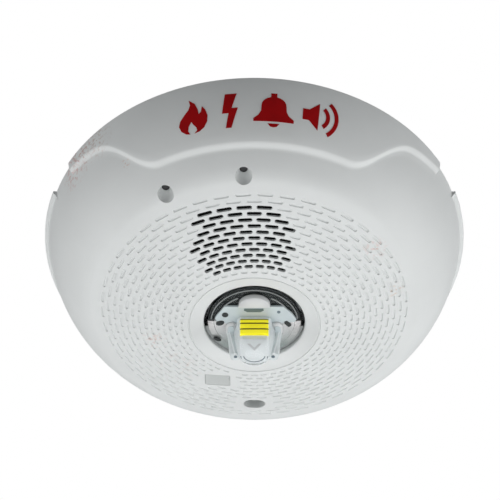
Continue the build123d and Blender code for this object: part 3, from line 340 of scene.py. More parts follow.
def keep_clear(r, degrees):
    """Whether a recess would meet the window or the screw hole."""
    x, y = spot(r, degrees)
    window_x = abs(x - WINDOW[0]) < WINDOW_SIZE[0] / 2 + WINDOW_CLEAR[0]
    window_y = abs(y - WINDOW[1]) < WINDOW_SIZE[1] / 2 + WINDOW_CLEAR[1]
    near_window = window_x and window_y
    near_screw = abs(x) < SCREW_CLEAR[0] and abs(y - SCREW_Y) < SCREW_CLEAR[1]
    return near_window or near_screw


def slot_cutters():
    """Open slots over the horn and shallow recesses everywhere else."""
    opened = set()
    for row, (first, count) in enumerate(GRILLE_ROWS):
        for n in range(count):
            opened.add((row + FIRST_GRILLE_RING, round((first + n) * 2)))
    parts = []
    for ring in range(RINGS):
        r = RING_START - ring * RING_PITCH
        length = SLOT_SHARE * r * math.radians(SLOT_STEP)
        shift = 0.5 if ring % 2 == 0 else 0.0
        for n in range(-SLOTS_ROUND // 2, SLOTS_ROUND // 2):
            key = (ring, round((n + shift) * 2))
            degrees = (n + shift) * SLOT_STEP
            place = face_place(r, degrees)
            if key in opened:
                top = obround(length + 0.2, SLOT_WIDTH + 0.15)
                low = obround(length, SLOT_WIDTH)
                parts.append(drafted(top, low, place, 0.4, -OPEN_SLOT_CUT))
            elif not keep_clear(r, degrees):
                top = obround(length + 0.3, SLOT_WIDTH + 0.4, 4)
                low = obround(length - 0.8, SLOT_WIDTH - 0.65, 4)
                parts.append(drafted(top, low, place, 0.5, -RECESS_DEPTH))
    return joined(parts)


def build_cover():
    """The cover's shell with its bosses, pockets, window, horn space and slots."""
    angles = column_angles()
    rows = [column(a) for a in angles]
    per = len(rows[0])
    verts = []
    for a, row in zip(angles, rows):
        s, c = math.sin(math.radians(a)), -math.cos(math.radians(a))
        verts += [(r * s, r * c, z) for r, z in row]
    faces = []
    total = len(angles)
    for i in range(total):
        j = (i + 1) % total
        for k in range(per):
            m = (k + 1) % per
            faces.append([i * per + k, j * per + k, j * per + m, i * per + m])
    cover = new_object("front_cover_shell", new_mesh("front_cover_shell", verts, faces))
    outline = [(0, FACE_Z + SKIN)]
    outline += [(float(r), dome_z(float(r)) + SKIN) for r in np.linspace(4, FACE_EDGE - 0.8, 24)]
    outline += [(skirt(t)[0] - SKIN, skirt(t)[1]) for t in np.linspace(0.04, 0.995, 24)] + [(0, RIM_Z)]
    limit = new_object("limit", revolve_mesh("limit", outline, FINE_STEPS))
    extras = []
    for angle in POCKETS:
        extras.append(prism(circle(POCKET_BOSS, 40, spot(POCKET_RING, angle)), EDGE_Z - 3, POCKET_BOSS_TOP))
    for angle in POSTS:
        extras.append(prism(circle(POST_RADIUS, 32, spot(POST_RING, angle)), EDGE_Z, POST_TOP))
    tunnel = [(x, y + SCREW_Y) for x, y in obround(*SCREW_TUNNEL, 16)]
    extras.append(prism(tunnel, FACE_Z, SCREW_TUNNEL_TOP))
    collar = round_rect(*COLLAR, COLLAR_CORNER, 8, HORN_CENTRE)
    extras.append(prism(collar, LENS_EDGE_Z + 0.8, COLLAR_TOP))
    boss = new_object("boss", new_mesh("boss", *joined(extras)))
    boolean(boss, limit, "INTERSECT")
    boolean(cover, boss, "UNION")
    cuts = []
    for angle in POCKETS:
        cuts.append(stack([(circle(r, 48, spot(POCKET_RING, angle)), z) for r, z in POCKET_SECTION]))
    screw_hole = [(x, y + SCREW_Y) for x, y in obround(*SCREW_HOLE, 20)]
    cuts.append(prism(screw_hole, FACE_Z - 2, SCREW_HOLE_TOP))
    plate = round_rect(WINDOW_SIZE[0], WINDOW_SIZE[1], WINDOW_CORNER, 4)
    rim = round_rect(WINDOW_SIZE[0] + WINDOW_FIT, WINDOW_SIZE[1] + WINDOW_FIT, WINDOW_CORNER, 4)
    cuts.append(drafted(rim, plate, window_place(), 0.6, -5.0))
    boolean(cover, new_object("cut", new_mesh("cut", *joined(cuts))), "DIFFERENCE")
    boolean(cover, hollow_above_face(round_rect(*HOLLOW, HOLLOW_CORNER, 8, HORN_CENTRE)), "DIFFERENCE")
    boolean(cover, new_object("slots", new_mesh("slots", *slot_cutters())), "DIFFERENCE")
    return cover


def hollow_above_face(outline):
    """Space inside the horn collar, its floor following the inside of the face."""
    block = new_object("hollow", new_mesh("hollow", *prism(outline, FACE_Z, HOLLOW_TOP)))
    cap = [(0, dome_z(0, WALL) - 0.01)]
    cap += [(float(r), dome_z(float(r), WALL) - 0.01) for r in np.linspace(4, 70, 24)]
    cap += [(70, -30.0), (0, -30.0)]
    return boolean(block, new_object("cap", revolve_mesh("cap", cap, FINE_STEPS)), "INTERSECT")


def loft(name, sections):
    """Closed piece through rings of equal count, given bottom to top."""
    verts, faces = [], []
    n = len(sections[0])
    for ring in sections:
        verts += ring
    for j in range(len(sections) - 1):
        for i in range(n):
            k = (i + 1) % n
            faces.append([j * n + i, j * n + k, (j + 1) * n + k, (j + 1) * n + i])
    faces.append(list(range(n))[::-1])
    faces.append([(len(sections) - 1) * n + i for i in range(n)])
    return new_object(name, new_mesh(name, verts, faces))


def finish_piece(obj, mat, angle=35):
    """Give a piece its material and slot, and let it ride on the device."""
    obj.data.materials.clear()
    obj.data.materials.append(mat)
    smooth(obj, angle)
    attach(obj, "device")
    return obj


def add_solid(name, shape, mat, angle=35):
    """Finished piece from vertices and faces."""
    return finish_piece(new_object(name, new_mesh(name, *shape)), mat, angle)


# Materials
BUMP_DISTANCE = 0.0002
SPECK_FROM, SPECK_FULL, SCUFF_CORE = 0.52, 0.66, 0.2


def material(name, color, rough, metal=0.0, bump=0.0, bump_scale=900.0, mottle=0.03, mottle_scale=60.0,
             rough_vary=0.08, coat=0.0, stretch=(1, 1, 1), **sockets):
    """Procedural material: mottled colour, varied roughness and fine relief; sockets are shader inputs."""
    mat = bpy.data.materials.new(name)
    mat.use_nodes = True
    nodes, links = mat.node_tree.nodes, mat.node_tree.links
    nodes.clear()
    out = nodes.new("ShaderNodeOutputMaterial")
    shader = nodes.new("ShaderNodeBsdfPrincipled")
    links.new(shader.outputs["BSDF"], out.inputs["Surface"])
    coord = nodes.new("ShaderNodeTexCoord")
    mapping = nodes.new("ShaderNodeMapping")
    mapping.inputs["Scale"].default_value = stretch
    links.new(coord.outputs["Object"], mapping.inputs["Vector"])
    noise = nodes.new("ShaderNodeTexNoise")
    noise.inputs["Scale"].default_value = mottle_scale
    noise.inputs["Detail"].default_value = 5.0
    links.new(mapping.outputs["Vector"], noise.inputs["Vector"])
    ramp = nodes.new("ShaderNodeValToRGB")
    low = [max(0.0, c * (1 - mottle)) for c in color] + [1]
    high = [min(1.0, c * (1 + mottle)) for c in color] + [1]
    ramp.color_ramp.elements[0].position = 0.3
    ramp.color_ramp.elements[1].position = 0.7
    ramp.color_ramp.elements[0].color = low
    ramp.color_ramp.elements[1].color = high
    links.new(noise.outputs["Fac"], ramp.inputs["Fac"])
    links.new(ramp.outputs["Color"], shader.inputs["Base Color"])
    span = nodes.new("ShaderNodeMapRange")
    span.inputs["To Min"].default_value = max(0.02, rough - rough_vary)
    span.inputs["To Max"].default_value = min(1.0, rough + rough_vary)
    links.new(noise.outputs["Fac"], span.inputs["Value"])
    links.new(span.outputs["Result"], shader.inputs["Roughness"])
    shader.inputs["Metallic"].default_value = metal
    shader.inputs["Coat Weight"].default_value = coat
    for key, value in sockets.items():
        shader.inputs[key.replace("_", " ").title().replace("Ior", "IOR")].default_value = value
    if bump:
        fine = nodes.new("ShaderNodeTexNoise")
        fine.inputs["Scale"].default_value = bump_scale
        fine.inputs["Detail"].default_value = 3.0
        links.new(mapping.outputs["Vector"], fine.inputs["Vector"])
        relief = nodes.new("ShaderNodeBump")
        relief.inputs["Strength"].default_value = bump
        relief.inputs["Distance"].default_value = BUMP_DISTANCE
        links.new(fine.outputs["Fac"], relief.inputs["Height"])
        links.new(relief.outputs["Normal"], shader.inputs["Normal"])
    return mat


def parts_of(mat):
    """A material's nodes, links, shader, texture coordinates and the socket that colours it."""
    nodes, links = mat.node_tree.nodes, mat.node_tree.links
    shader = next(n for n in nodes if n.type == "BSDF_PRINCIPLED")
    coord = next(n for n in nodes if n.type == "TEX_COORD")
    return nodes, links, shader, coord, shader.inputs["Base Color"].links[0].from_socket


def mixed(nodes, links, factor, source, color):
    """Colour between a socket and a constant."""
    mix = nodes.new("ShaderNodeMix")
    mix.data_type = "RGBA"
    links.new(factor, mix.inputs["Factor"])
    links.new(source, mix.inputs[6])
    mix.inputs[7].default_value = (*color, 1)
    return mix.outputs[2]


def shade_along_y(mat, start, end, shade_color):
    """Painted shade: colour that turns slowly to a shade colour along Y, in the row frame."""
    nodes, links, shader, coord, source = parts_of(mat)
    split = nodes.new("ShaderNodeSeparateXYZ")
    links.new(coord.outputs["Object"], split.inputs["Vector"])
    span = nodes.new("ShaderNodeMapRange")
    span.inputs["From Min"].default_value = start * MM
    span.inputs["From Max"].default_value = end * MM
    links.new(split.outputs["Y"], span.inputs["Value"])
    links.new(mixed(nodes, links, span.outputs["Result"], source, shade_color), shader.inputs["Base Color"])


def add_marks(mat, marks):
    """Faint scuffs: each is a centre, a radius, a colour, a strength and a grain, in the row frame."""
    nodes, links, shader, coord, source = parts_of(mat)
    for centre, radius, color, strength, grain in marks:
        distance = nodes.new("ShaderNodeVectorMath")
        distance.operation = "DISTANCE"
        distance.inputs[1].default_value = tuple(c * MM for c in centre)
        links.new(coord.outputs["Object"], distance.inputs[0])
        near = nodes.new("ShaderNodeMapRange")
        near.inputs["From Min"].default_value = radius * MM
        near.inputs["From Max"].default_value = radius * MM * SCUFF_CORE
        links.new(distance.outputs["Value"], near.inputs["Value"])
        speck = nodes.new("ShaderNodeTexNoise")
        speck.inputs["Scale"].default_value = grain
        speck.inputs["Detail"].default_value = 2.0
        links.new(coord.outputs["Object"], speck.inputs["Vector"])
        cut = nodes.new("ShaderNodeMapRange")
        cut.inputs["From Min"].default_value = SPECK_FROM
        cut.inputs["From Max"].default_value = SPECK_FULL
        cut.inputs["To Max"].default_value = strength
        links.new(speck.outputs["Fac"], cut.inputs["Value"])
        both = nodes.new("ShaderNodeMath")
        both.operation = "MULTIPLY"
        links.new(near.outputs["Result"], both.inputs[0])
        links.new(cut.outputs["Result"], both.inputs[1])
        source = mixed(nodes, links, both.outputs["Value"], source, color)
    links.new(source, shader.inputs["Base Color"])


white = material("cover_white", (0.735, 0.755, 0.75), 0.48, bump=0.12, bump_scale=2600, mottle=0.018,
    mottle_scale=45)
add_marks(white, (
    ((-68, -53, -4), 12, (0.42, 0.14, 0.10), 0.55, 700.0),
    ((-60, -60, -6), 9, (0.40, 0.24, 0.18), 0.5, 800.0),
    ((-72, -46, -7), 10, (0.50, 0.12, 0.09), 0.5, 650.0),
    ((-48, -61, -22), 2.5, (0.55, 0.20, 0.08), 0.7, 900.0),
    ((-76, 38, -4), 5, (0.50, 0.08, 0.06), 0.7, 500.0),
    ((76, 38, -4), 5, (0.50, 0.06, 0.05), 0.7, 520.0),
    ((-31.8, -80.5, -3), 1.1, (0.03, 0.03, 0.03), 1.0, 300.0),
    ((45.6, -34, -40), 6, (0.62, 0.30, 0.24), 0.4, 600.0),
    ((55, -13, -40), 4, (0.62, 0.30, 0.12), 0.5, 700.0),
    ((-39.6, 11, -44), 6, (0.60, 0.28, 0.20), 0.4, 620.0),
    ((-30, 24, -45), 12, (0.62, 0.36, 0.28), 0.2, 400.0),
))
plate_white = material("plate_white", (0.70, 0.70, 0.68), 0.5, bump=0.15, bump_scale=1800, mottle=0.03)
chassis_white = material("chassis_white", (0.66, 0.66, 0.64), 0.5, bump=0.2, bump_scale=1500, mottle=0.03)
black = material("black_moulding", (0.022, 0.022, 0.024), 0.5, bump=0.25, bump_scale=1600, mottle=0.15)
terminal = material("terminal_moulding", (0.045, 0.05, 0.055), 0.45, bump=0.2, bump_scale=1400, mottle=0.12)
steel = material("plated_steel", (0.60, 0.60, 0.62), 0.3, 1.0, bump=0.15, bump_scale=1200, mottle=0.08,
    stretch=(1, 1, 6))
spring = material("spring_steel", (0.66, 0.65, 0.60), 0.25, 1.0, bump=0.12, bump_scale=1400, mottle=0.08,
    stretch=(8, 1, 1))
brass = material("turned_brass", (0.72, 0.52, 0.22), 0.28, 1.0, bump=0.15, bump_scale=1200, mottle=0.06,
    stretch=(1, 1, 8))
board = material("board_green", (0.02, 0.16, 0.07), 0.35, bump=0.3, bump_scale=700, mottle=0.25,
    mottle_scale=220, coat=0.3)
light_board = material("board_white", (0.72, 0.74, 0.75), 0.35, bump=0.1, bump_scale=800, mottle=0.03,
    coat=0.2)
can = material("capacitor_sleeve", (0.05, 0.06, 0.10), 0.35, bump=0.1, bump_scale=900, mottle=0.15, coat=0.2)
ferrite = material("ferrite", (0.05, 0.05, 0.055), 0.7, bump=0.4, bump_scale=1500, mottle=0.2)
copper = material("copper_wire", (0.55, 0.22, 0.10), 0.35, 0.9, bump=0.6, bump_scale=500, mottle=0.1,
    stretch=(1, 1, 12))
cast = material("cast_aluminium", (0.55, 0.56, 0.57), 0.4, 1.0, bump=0.25, bump_scale=900, mottle=0.06)
mirror = material("metallised", (0.56, 0.55, 0.555), 0.38, 0.55, bump=0.08, bump_scale=260, mottle=0.05,
    mottle_scale=90, rough_vary=0.08)
rubber = material("seal_rubber", (0.03, 0.03, 0.032), 0.7, bump=0.2, bump_scale=1500, mottle=0.1)
mesh_cloth = material("screen_cloth", (0.006, 0.006, 0.006), 0.95, bump=0.8, bump_scale=3000, mottle=0.3,
    mottle_scale=900, specular_ior_level=0.1)
film = material("label_film", (0.72, 0.72, 0.70), 0.4, bump=0.05, bump_scale=900, mottle=0.02)
frosted = material("window_frosted", (0.56, 0.585, 0.575), 0.3, bump=0.05, bump_scale=1500, mottle=0.03,
    coat=0.1)
# Painted glow: the phosphor's emission brightens it; phosphor_shadow below is its painted shade copy.
phosphor = material("phosphor", (0.95, 0.86, 0.012), 0.45, bump=0.1, bump_scale=1500, mottle=0.06,
    mottle_scale=300, emission_color=(1.0, 0.88, 0.02, 1), emission_strength=0.42)
phosphor_painted_shade = material("phosphor_shadow", (0.11, 0.10, 0.01), 0.4, bump=0.1, bump_scale=1500, mottle=0.1)
red = material("red_mark", (0.36, 0.0015, 0.003), 0.5, bump=0.1, bump_scale=1800, mottle=0.12,
    mottle_scale=120, specular_ior_level=0.12)
clear = material("clear_optic", (0.95, 0.97, 0.975), 0.04, bump=0.03, bump_scale=300, mottle=0.01,
    rough_vary=0.02, transmission_weight=1.0, ior=1.14)
haze = material("light_guide", (0.66, 0.675, 0.68), 0.3, bump=0.05, bump_scale=900, mottle=0.02, coat=0.15)
# Painted glow: the optic's core, shoulders, legs and root shine by emission, standing in for light inside the
# clear optic.
milky_glow = material("milky_optic", (0.70, 0.725, 0.73), 0.22, bump=0.04, bump_scale=400, mottle=0.04,
    mottle_scale=160, rough_vary=0.05, emission_color=(0.80, 0.86, 0.87, 1), emission_strength=0.20)
shoulder_glow = material("optic_shoulder", (0.47, 0.53, 0.545), 0.2, bump=0.04, bump_scale=400, mottle=0.06,
    mottle_scale=140, rough_vary=0.05, emission_color=(0.70, 0.80, 0.84, 1), emission_strength=0.12)
leg_glow = material("optic_leg", (0.60, 0.64, 0.645), 0.15, bump=0.04, bump_scale=400, mottle=0.10,
    mottle_scale=260, rough_vary=0.05, emission_color=(0.74, 0.82, 0.84, 1), emission_strength=0.14)
root_glow = material("optic_root", (0.50, 0.55, 0.58), 0.2, bump=0.04, bump_scale=400, mottle=0.04,
    emission_color=(0.62, 0.74, 0.84, 1), emission_strength=0.10)
slit_blue = material("optic_slit", (0.12, 0.17, 0.20), 0.3, bump=0.04, bump_scale=500, mottle=0.1,
    mottle_scale=200)
bowl = material("optic_bowl", (0.74, 0.715, 0.71), 0.3, 0.25, bump=0.05, bump_scale=300, mottle=0.12,
    mottle_scale=110, rough_vary=0.08)
# Painted shade: the bowl darkens to grey-green towards its far side along Y.
shade_along_y(bowl, 2.0, 13.0, (0.27, 0.31, 0.295))
# This grey paints both shade in the gap at the bowl's far rim and highlights along the clear flange's edges.
edge_shade_and_highlight = material("optic_edge", (0.30, 0.32, 0.32), 0.3, bump=0.04, bump_scale=500, mottle=0.05)
inner_shade = material("inner_shade", (0.05, 0.055, 0.055), 0.7, mottle=0.06, specular_ior_level=0.12)

NODE_MATERIALS = {
    "mounting_plate": plate_white, "terminal_block": terminal, "terminal_screws": steel,
    "terminal_clamps": steel, "plate_sockets": spring, "shorting_spring": spring, "plate_insert": brass,
    "chassis": chassis_white, "chassis_screws": steel, "main_pcb": board, "pcb_screws": steel,
    "capacitors": can, "inductor": ferrite, "ic_chips": black, "pin_header": black, "contact_pins": spring,
    "candela_slider": plate_white, "candela_switch_body": black, "candela_window": frosted,
    "tone_switch_body": black, "tone_rotor": plate_white, "screw_retainer": steel, "captive_screw": steel,
    "led_heatsink": cast, "led_board": light_board, "led_screws": steel, "led_emitter": light_board,
    "reflector": mirror, "lens": clear, "lens_gasket": rubber, "horn_frame": black,
    "horn_diaphragm": spring, "horn_pole": steel, "horn_coil": copper, "horn_magnet": ferrite,
    "acoustic_mesh": mesh_cloth, "horn_contacts": brass, "rating_label": film,
}
for node, mat in NODE_MATERIALS.items():
    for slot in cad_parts[node].material_slots:
        slot.material = mat

cover = finish_piece(build_cover(), white, 28)
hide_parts("front_cover")

# Dark sheet that fills the open slots, inside the wall: partly the real black cloth, partly painted shade
screen_outline = [(float(r), dome_z(float(r), SCREEN_INSET)) for r in np.linspace(20, 68, 20)]
screen_outline += [(r, z + SCREEN_THICK) for r, z in reversed(screen_outline)]
cloth_and_shade = new_object("grille_cloth_and_shade", revolve_mesh("grille_cloth_and_shade", screen_outline, FINE_STEPS))
screen_shape = prism(round_rect(*SCREEN, SCREEN_CORNER, 8, HORN_CENTRE), FACE_Z, -30.0)
boolean(cloth_and_shade, new_object("screen_cut", new_mesh("screen_cut", *screen_shape)), "INTERSECT")
finish_piece(cloth_and_shade, mesh_cloth, 40)


# Red pictograms on the band
MARK_PROUD, MARK_ROOT = 0.12, 0.25
MARK_EDGE_STEP, MARK_GRID, MARK_GRID_START = 0.8, 1.2, 0.013
MARK_STEPS = 60


def polygon_piece(name, loops):
    """Thin closed piece on the band from flat outlines in millimetres along and up the band."""
    bm = bmesh.new()
    for loop in loops:
        points = []
        for (x0, y0), (x1, y1) in zip(loop, loop[1:] + loop[:1]):
            n = max(1, int(math.hypot(x1 - x0, y1 - y0) / MARK_EDGE_STEP))
            points += [(x0 + (x1 - x0) * k / n, y0 + (y1 - y0) * k / n) for k in range(n)]
        ring = [bm.verts.new((x, y, 0)) for x, y in points]
        for a, b in zip(ring, ring[1:] + ring[:1]):
            bm.edges.new((a, b))
    bmesh.ops.triangle_fill(bm, use_beauty=True, use_dissolve=False, edges=bm.edges[:])
    xs = [v.co.x for v in bm.verts]
    ys = [v.co.y for v in bm.verts]
    for axis, low, high in ((0, min(xs), max(xs)), (1, min(ys), max(ys))):
        value = math.ceil(low) + MARK_GRID_START
        while value < high:
            point = (value, 0, 0) if axis == 0 else (0, value, 0)
            normal = (1, 0, 0) if axis == 0 else (0, 1, 0)
            geom = bm.verts[:] + bm.edges[:] + bm.faces[:]
            bmesh.ops.bisect_plane(bm, geom=geom, plane_co=point, plane_no=normal, dist=1e-5)
            value += MARK_GRID
    bm.verts.ensure_lookup_table()
    flat = [(v.co.x, v.co.y) for v in bm.verts]
    faces = [[v.index for v in f.verts] for f in bm.faces]
    rims = [[v.index for v in e.verts] for e in bm.edges if e.is_boundary]
    bm.free()
    verts = []
    for offset in (BAND + MARK_PROUD, BAND - MARK_ROOT):
        for x, y in flat:
            r, z = skirt(mark_t(y), offset)
            verts.append((*spot(r, math.degrees(x / RIM)), z))
    n = len(flat)
    body = faces + [[i + n for i in reversed(f)] for f in faces]
    body += [[a, b, b + n, a + n] for a, b in rims]
    return add_solid(name, (verts, body), red, 40)


MARK_T = [(k / MARK_STEPS, skirt(k / MARK_STEPS, BAND)) for k in range(MARK_STEPS + 1)]
MARK_LENGTH = [0.0]
for (_, p0), (_, p1) in zip(MARK_T, MARK_T[1:]):
    MARK_LENGTH.append(MARK_LENGTH[-1] + math.dist(p0, p1))


def mark_t(height):
    """Curve parameter at a length measured up the band from the face edge."""
    return float(np.interp(height, MARK_LENGTH, [t for t, _ in MARK_T]))


def along(z):
    """Length up the band of a height."""
    return float(np.interp(z, [p[1] for _, p in MARK_T], MARK_LENGTH))


MARK_LOW, MARK_HIGH = along(-23.1), along(-9.6)
MARK_TALL = MARK_HIGH - MARK_LOW


def arc_points(cx, cy, radius, start, end, count):
    """Points along an arc between two angles in degrees."""
    turns = [math.radians(start + (end - start) * k / (count - 1)) for k in range(count)]
    return [(cx + radius * math.cos(a), cy + radius * math.sin(a)) for a in turns]


def place_mark(loops, start, end):
    """Scale unit outlines into the box between two angles."""
    x0, x1 = math.radians(start) * RIM, math.radians(end) * RIM
    return [[(x0 + (x1 - x0) * u, MARK_LOW + MARK_TALL * v) for u, v in loop] for loop in loops]


flame = [(0.50, 0.0), (0.68, 0.03), (0.84, 0.12), (0.95, 0.27), (0.98, 0.44), (0.92, 0.62), (0.82, 0.74),
    (0.78, 0.58), (0.70, 0.52), (0.68, 0.68), (0.60, 0.86), (0.42, 1.0), (0.45, 0.84), (0.38, 0.70),
    (0.22, 0.56), (0.08, 0.42), (0.02, 0.28), (0.08, 0.13), (0.22, 0.03), (0.36, 0.0), (0.30, 0.10),
    (0.34, 0.22), (0.44, 0.34), (0.50, 0.24), (0.58, 0.16), (0.60, 0.07)]
bolt = [(0.55, 0.0), (0.95, 0.56), (0.60, 0.56), (0.90, 1.0), (0.25, 1.0), (0.05, 0.42), (0.42, 0.42),
    (0.22, 0.0)]


def bell_shoulder(first, last):
    """Part of the bell's round top."""
    turns = [math.radians(a) for a in range(first, last, 15)]
    return [(0.5 + 0.29 * math.cos(a), 0.62 + 0.27 * math.sin(a)) for a in turns]


bell = [(0.02, 0.16), (0.98, 0.16), (0.98, 0.24), (0.86, 0.34), (0.80, 0.46)] + bell_shoulder(0, 76)
bell += [(0.57, 0.90), (0.57, 1.0), (0.43, 1.0), (0.43, 0.90)] + bell_shoulder(105, 181)
bell += [(0.20, 0.46), (0.14, 0.34), (0.02, 0.24)]
clapper = [(0.36, 0.10), (0.64, 0.10), (0.58, 0.02), (0.50, 0.0), (0.42, 0.02)]
speaker = [(0.0, 0.34), (0.16, 0.34), (0.40, 0.10), (0.40, 0.90), (0.16, 0.66), (0.0, 0.66)]
WAVE_CENTRE, WAVE_HALF_ANGLE, WAVE_TALL = (0.34, 0.5), 52, 1.15


def wave(inner, outer):
    """One sound wave beside the loudspeaker."""
    outside = arc_points(*WAVE_CENTRE, outer, -WAVE_HALF_ANGLE, WAVE_HALF_ANGLE, 16)
    inside = arc_points(*WAVE_CENTRE, inner, WAVE_HALF_ANGLE, -WAVE_HALF_ANGLE, 16)
    return [(x, 0.5 + (y - 0.5) * WAVE_TALL) for x, y in outside + inside]


FLAME_BOX, FLASH_BOX, BELL_BOX, SPEAKER_BOX = (-20.3, -12.0), (-8.6, -4.0), (-0.5, 10.6), (12.6, 23.4)
polygon_piece("mark_flame", place_mark([flame], *FLAME_BOX))
polygon_piece("mark_flash", place_mark([bolt], *FLASH_BOX))
polygon_piece("mark_bell", place_mark([bell], *BELL_BOX))
polygon_piece("mark_clapper", place_mark([clapper], *BELL_BOX))
polygon_piece("mark_speaker", place_mark([speaker], *SPEAKER_BOX))
polygon_piece("mark_wave_near", place_mark([wave(0.24, 0.34)], *SPEAKER_BOX))
polygon_piece("mark_wave_far", place_mark([wave(0.46, 0.56)], *SPEAKER_BOX))


# Lens group
OPTIC_ROOT_Z = -45
RING_STEPS, OVAL_STEPS, OVAL_DEEP = 40, 24, 0.5


def ring_at(z, half_x, front, back, corner, steps):
    """Rounded rectangle at a height."""
    width, depth = 2 * half_x, back - front
    outline = round_rect(width, depth, min(corner, half_x * 0.99, depth * 0.495), steps,
        (0.0, (front + back) / 2))
    return [(x, y, z) for x, y in outline]


def pillar(name, sections, mat, steps=8, tilt=0.0, x=0.0):
    """Piece through rounded rectangles; each section is height, half width, front, back and corner."""
    rings = []
    for section in sections:
        shift = x + tilt * (section[0] - OPTIC_ROOT_Z)
        rings.append([(px + shift, py, pz) for px, py, pz in ring_at(*section, steps)])
    return finish_piece(loft(name, rings), mat)


def half_ring(inner, outer, low, high, first, last):
    """Sector of a ring between two angles from the front."""
    a = [first + (last - first) * k / RING_STEPS for k in range(RING_STEPS + 1)]
    outline = [spot(outer, d) for d in a] + [spot(inner, d) for d in reversed(a)]
    return prism(outline, low, high)


def oval(name, x, y, hx, hy, z, mat, turn=0.0, square=2.0):
    """Small dark detail seen through the optic."""
    c, s = math.cos(math.radians(turn)), math.sin(math.radians(turn))
    outline = []
    for k in range(OVAL_STEPS):
        a = 2 * math.pi * k / OVAL_STEPS
        u = hx * math.copysign(abs(math.cos(a)) ** (2 / square), math.cos(a))
        v = hy * math.copysign(abs(math.sin(a)) ** (2 / square), math.sin(a))
        outline.append((x + u * c - v * s, y + u * s + v * c))
    return add_solid(name, prism(outline, z, z + OVAL_DEEP), mat)


LENS_SECTION = (
    (0, -44.6), (15.8, -44.6), (16.6, -43.4), (16.8, -41.3), (22.4, -41.3), (22.4, -42.9), (18.4, -42.95),
    (18.3, -44.2), (17.8, -44.7), (12.5, -45.3), (0, -45.4))
lens = new_object("lens_optic", revolve_mesh("lens_optic", LENS_SECTION, 128))
OPTIC_SECTIONS = (
    (-60.9, 3.8, 1.0, 7.0, 3.0), (-60.5, 4.9, -0.4, 7.9, 4.0), (-59.2, 6.1, -2.2, 8.7, 4.6),
    (-57.2, 6.9, -3.5, 9.3, 4.9), (-52.0, 7.7, -4.1, 10.0, 5.0), (-47.6, 8.3, -4.4, 10.6, 5.0),
    (-45.0, 8.6, -4.6, 11.0, 5.0))
optic = loft("optic", [ring_at(*section, 10) for section in OPTIC_SECTIONS])
boolean(lens, optic, "UNION")
finish_piece(lens, clear)
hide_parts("lens")

# Rings behind the lens; angles are counted from the grille side
add_solid("optic_bowl", half_ring(6.0, 18.3, -44.3, -43.5, 89, 271), bowl)
# Painted shade: a dark grey ring in the gap at the bowl's far rim.
add_solid("bowl_edge_shade", half_ring(18.5, 19.7, -43.6, -43.0, 100, 260), edge_shade_and_highlight)
# Painted shade: a dark half ring under the clear flange on the near side.
add_solid("lens_shade_sheet", half_ring(7.0, 18.0, -43.9, -43.5, -88, 88), inner_shade)
# Painted highlights: thin grey arcs along the clear flange's edges on the near side.
add_solid("lens_edge_highlight", half_ring(16.9, 17.2, -44.9, -44.6, -84, 84), edge_shade_and_highlight)
inner_highlight = joined([half_ring(14.6, 14.95, -45.5, -45.1, *span) for span in ((-86, -26), (26, 86))])
add_solid("lens_inner_edge_highlight", inner_highlight, edge_shade_and_highlight)

GUIDE_RADIUS, GUIDE_Y, GUIDE_ROOT_Y, GUIDE_TIP = 6.2, -10.2, -9.9, 0.96
half_disc = [spot(GUIDE_RADIUS, a) for a in range(-90, 91, 6)]
tongue = [(x * 0.98, y * 0.78 + GUIDE_Y) for x, y in half_disc]
tongue += [(GUIDE_RADIUS, GUIDE_ROOT_Y), (-GUIDE_RADIUS, GUIDE_ROOT_Y)]
small = [(x * GUIDE_TIP, (y - GUIDE_Y) * GUIDE_TIP + GUIDE_Y) for x, y in tongue]
guide = stack([(small, -47.0), (tongue, -46.75), (tongue, -44.7)])
add_solid("light_guide", guide, haze, 60)

shoulder = [(-15.4, -3.0), (-14.6, -4.6), (-11.6, -9.4), (11.2, -9.4), (14.8, -5.4), (16.4, -2.4),
    (15.8, -1.2), (12.0, -0.9), (11.2, -0.4), (6.6, -0.4), (6.0, -2.6), (-6.0, -2.6), (-6.6, -0.4),
    (-11.2, -0.4), (-12.2, -1.1), (-14.8, -1.6)]
add_solid("optic_shoulder", prism(shoulder, -45.9, -45.0), shoulder_glow)
slit = [(-3.9, -8.6), (3.5, -8.6), (3.7, -7.7), (2.4, -6.8), (-2.7, -6.8), (-4.1, -7.7)]
add_solid("optic_slit", prism(slit, -46.2, -45.9), slit_blue)
under = [(-5.4, -9.4), (5.4, -9.4), (5.4, -5.2), (4.6, -4.6), (-4.6, -4.6), (-5.4, -5.2)]
add_solid("guide_root", prism(under, -46.05, -45.9), root_glow)

CORE_SECTIONS = (
    (-60.3, 3.6, 1.6, 6.6, 2.4), (-59.9, 4.6, 0.4, 7.2, 3.4), (-59.2, 5.2, -0.8, 7.5, 3.4),
    (-58.2, 5.6, -2.0, 7.8, 2.6), (-57.2, 5.8, -2.9, 8.0, 1.8), (-52.0, 6.1, -3.2, 8.6, 1.4),
    (-47.4, 6.3, -3.4, 9.2, 1.2), (-45.1, 6.4, -3.5, 9.6, 1.0))
pillar("optic_core", CORE_SECTIONS, milky_glow)

# Two dark rim lines of painted shade at the optic's tip
RIM_DEEP, RIM_HALF_TURN = 3.6, 1.35
for number, (z, y, hx) in enumerate(((-60.0, 6.3, 4.3), (-59.2, 7.1, 5.4))):
    turns = np.linspace(-RIM_HALF_TURN, RIM_HALF_TURN, 28)
    arc = [(hx * math.sin(a), y - RIM_DEEP + RIM_DEEP * math.cos(a)) for a in turns]
    inside = [(px * 0.95, py - 0.38) for px, py in reversed(arc)]
    add_solid("optic_rim_shade_%d" % number, prism(arc + inside, z - 0.35, z), slit_blue)

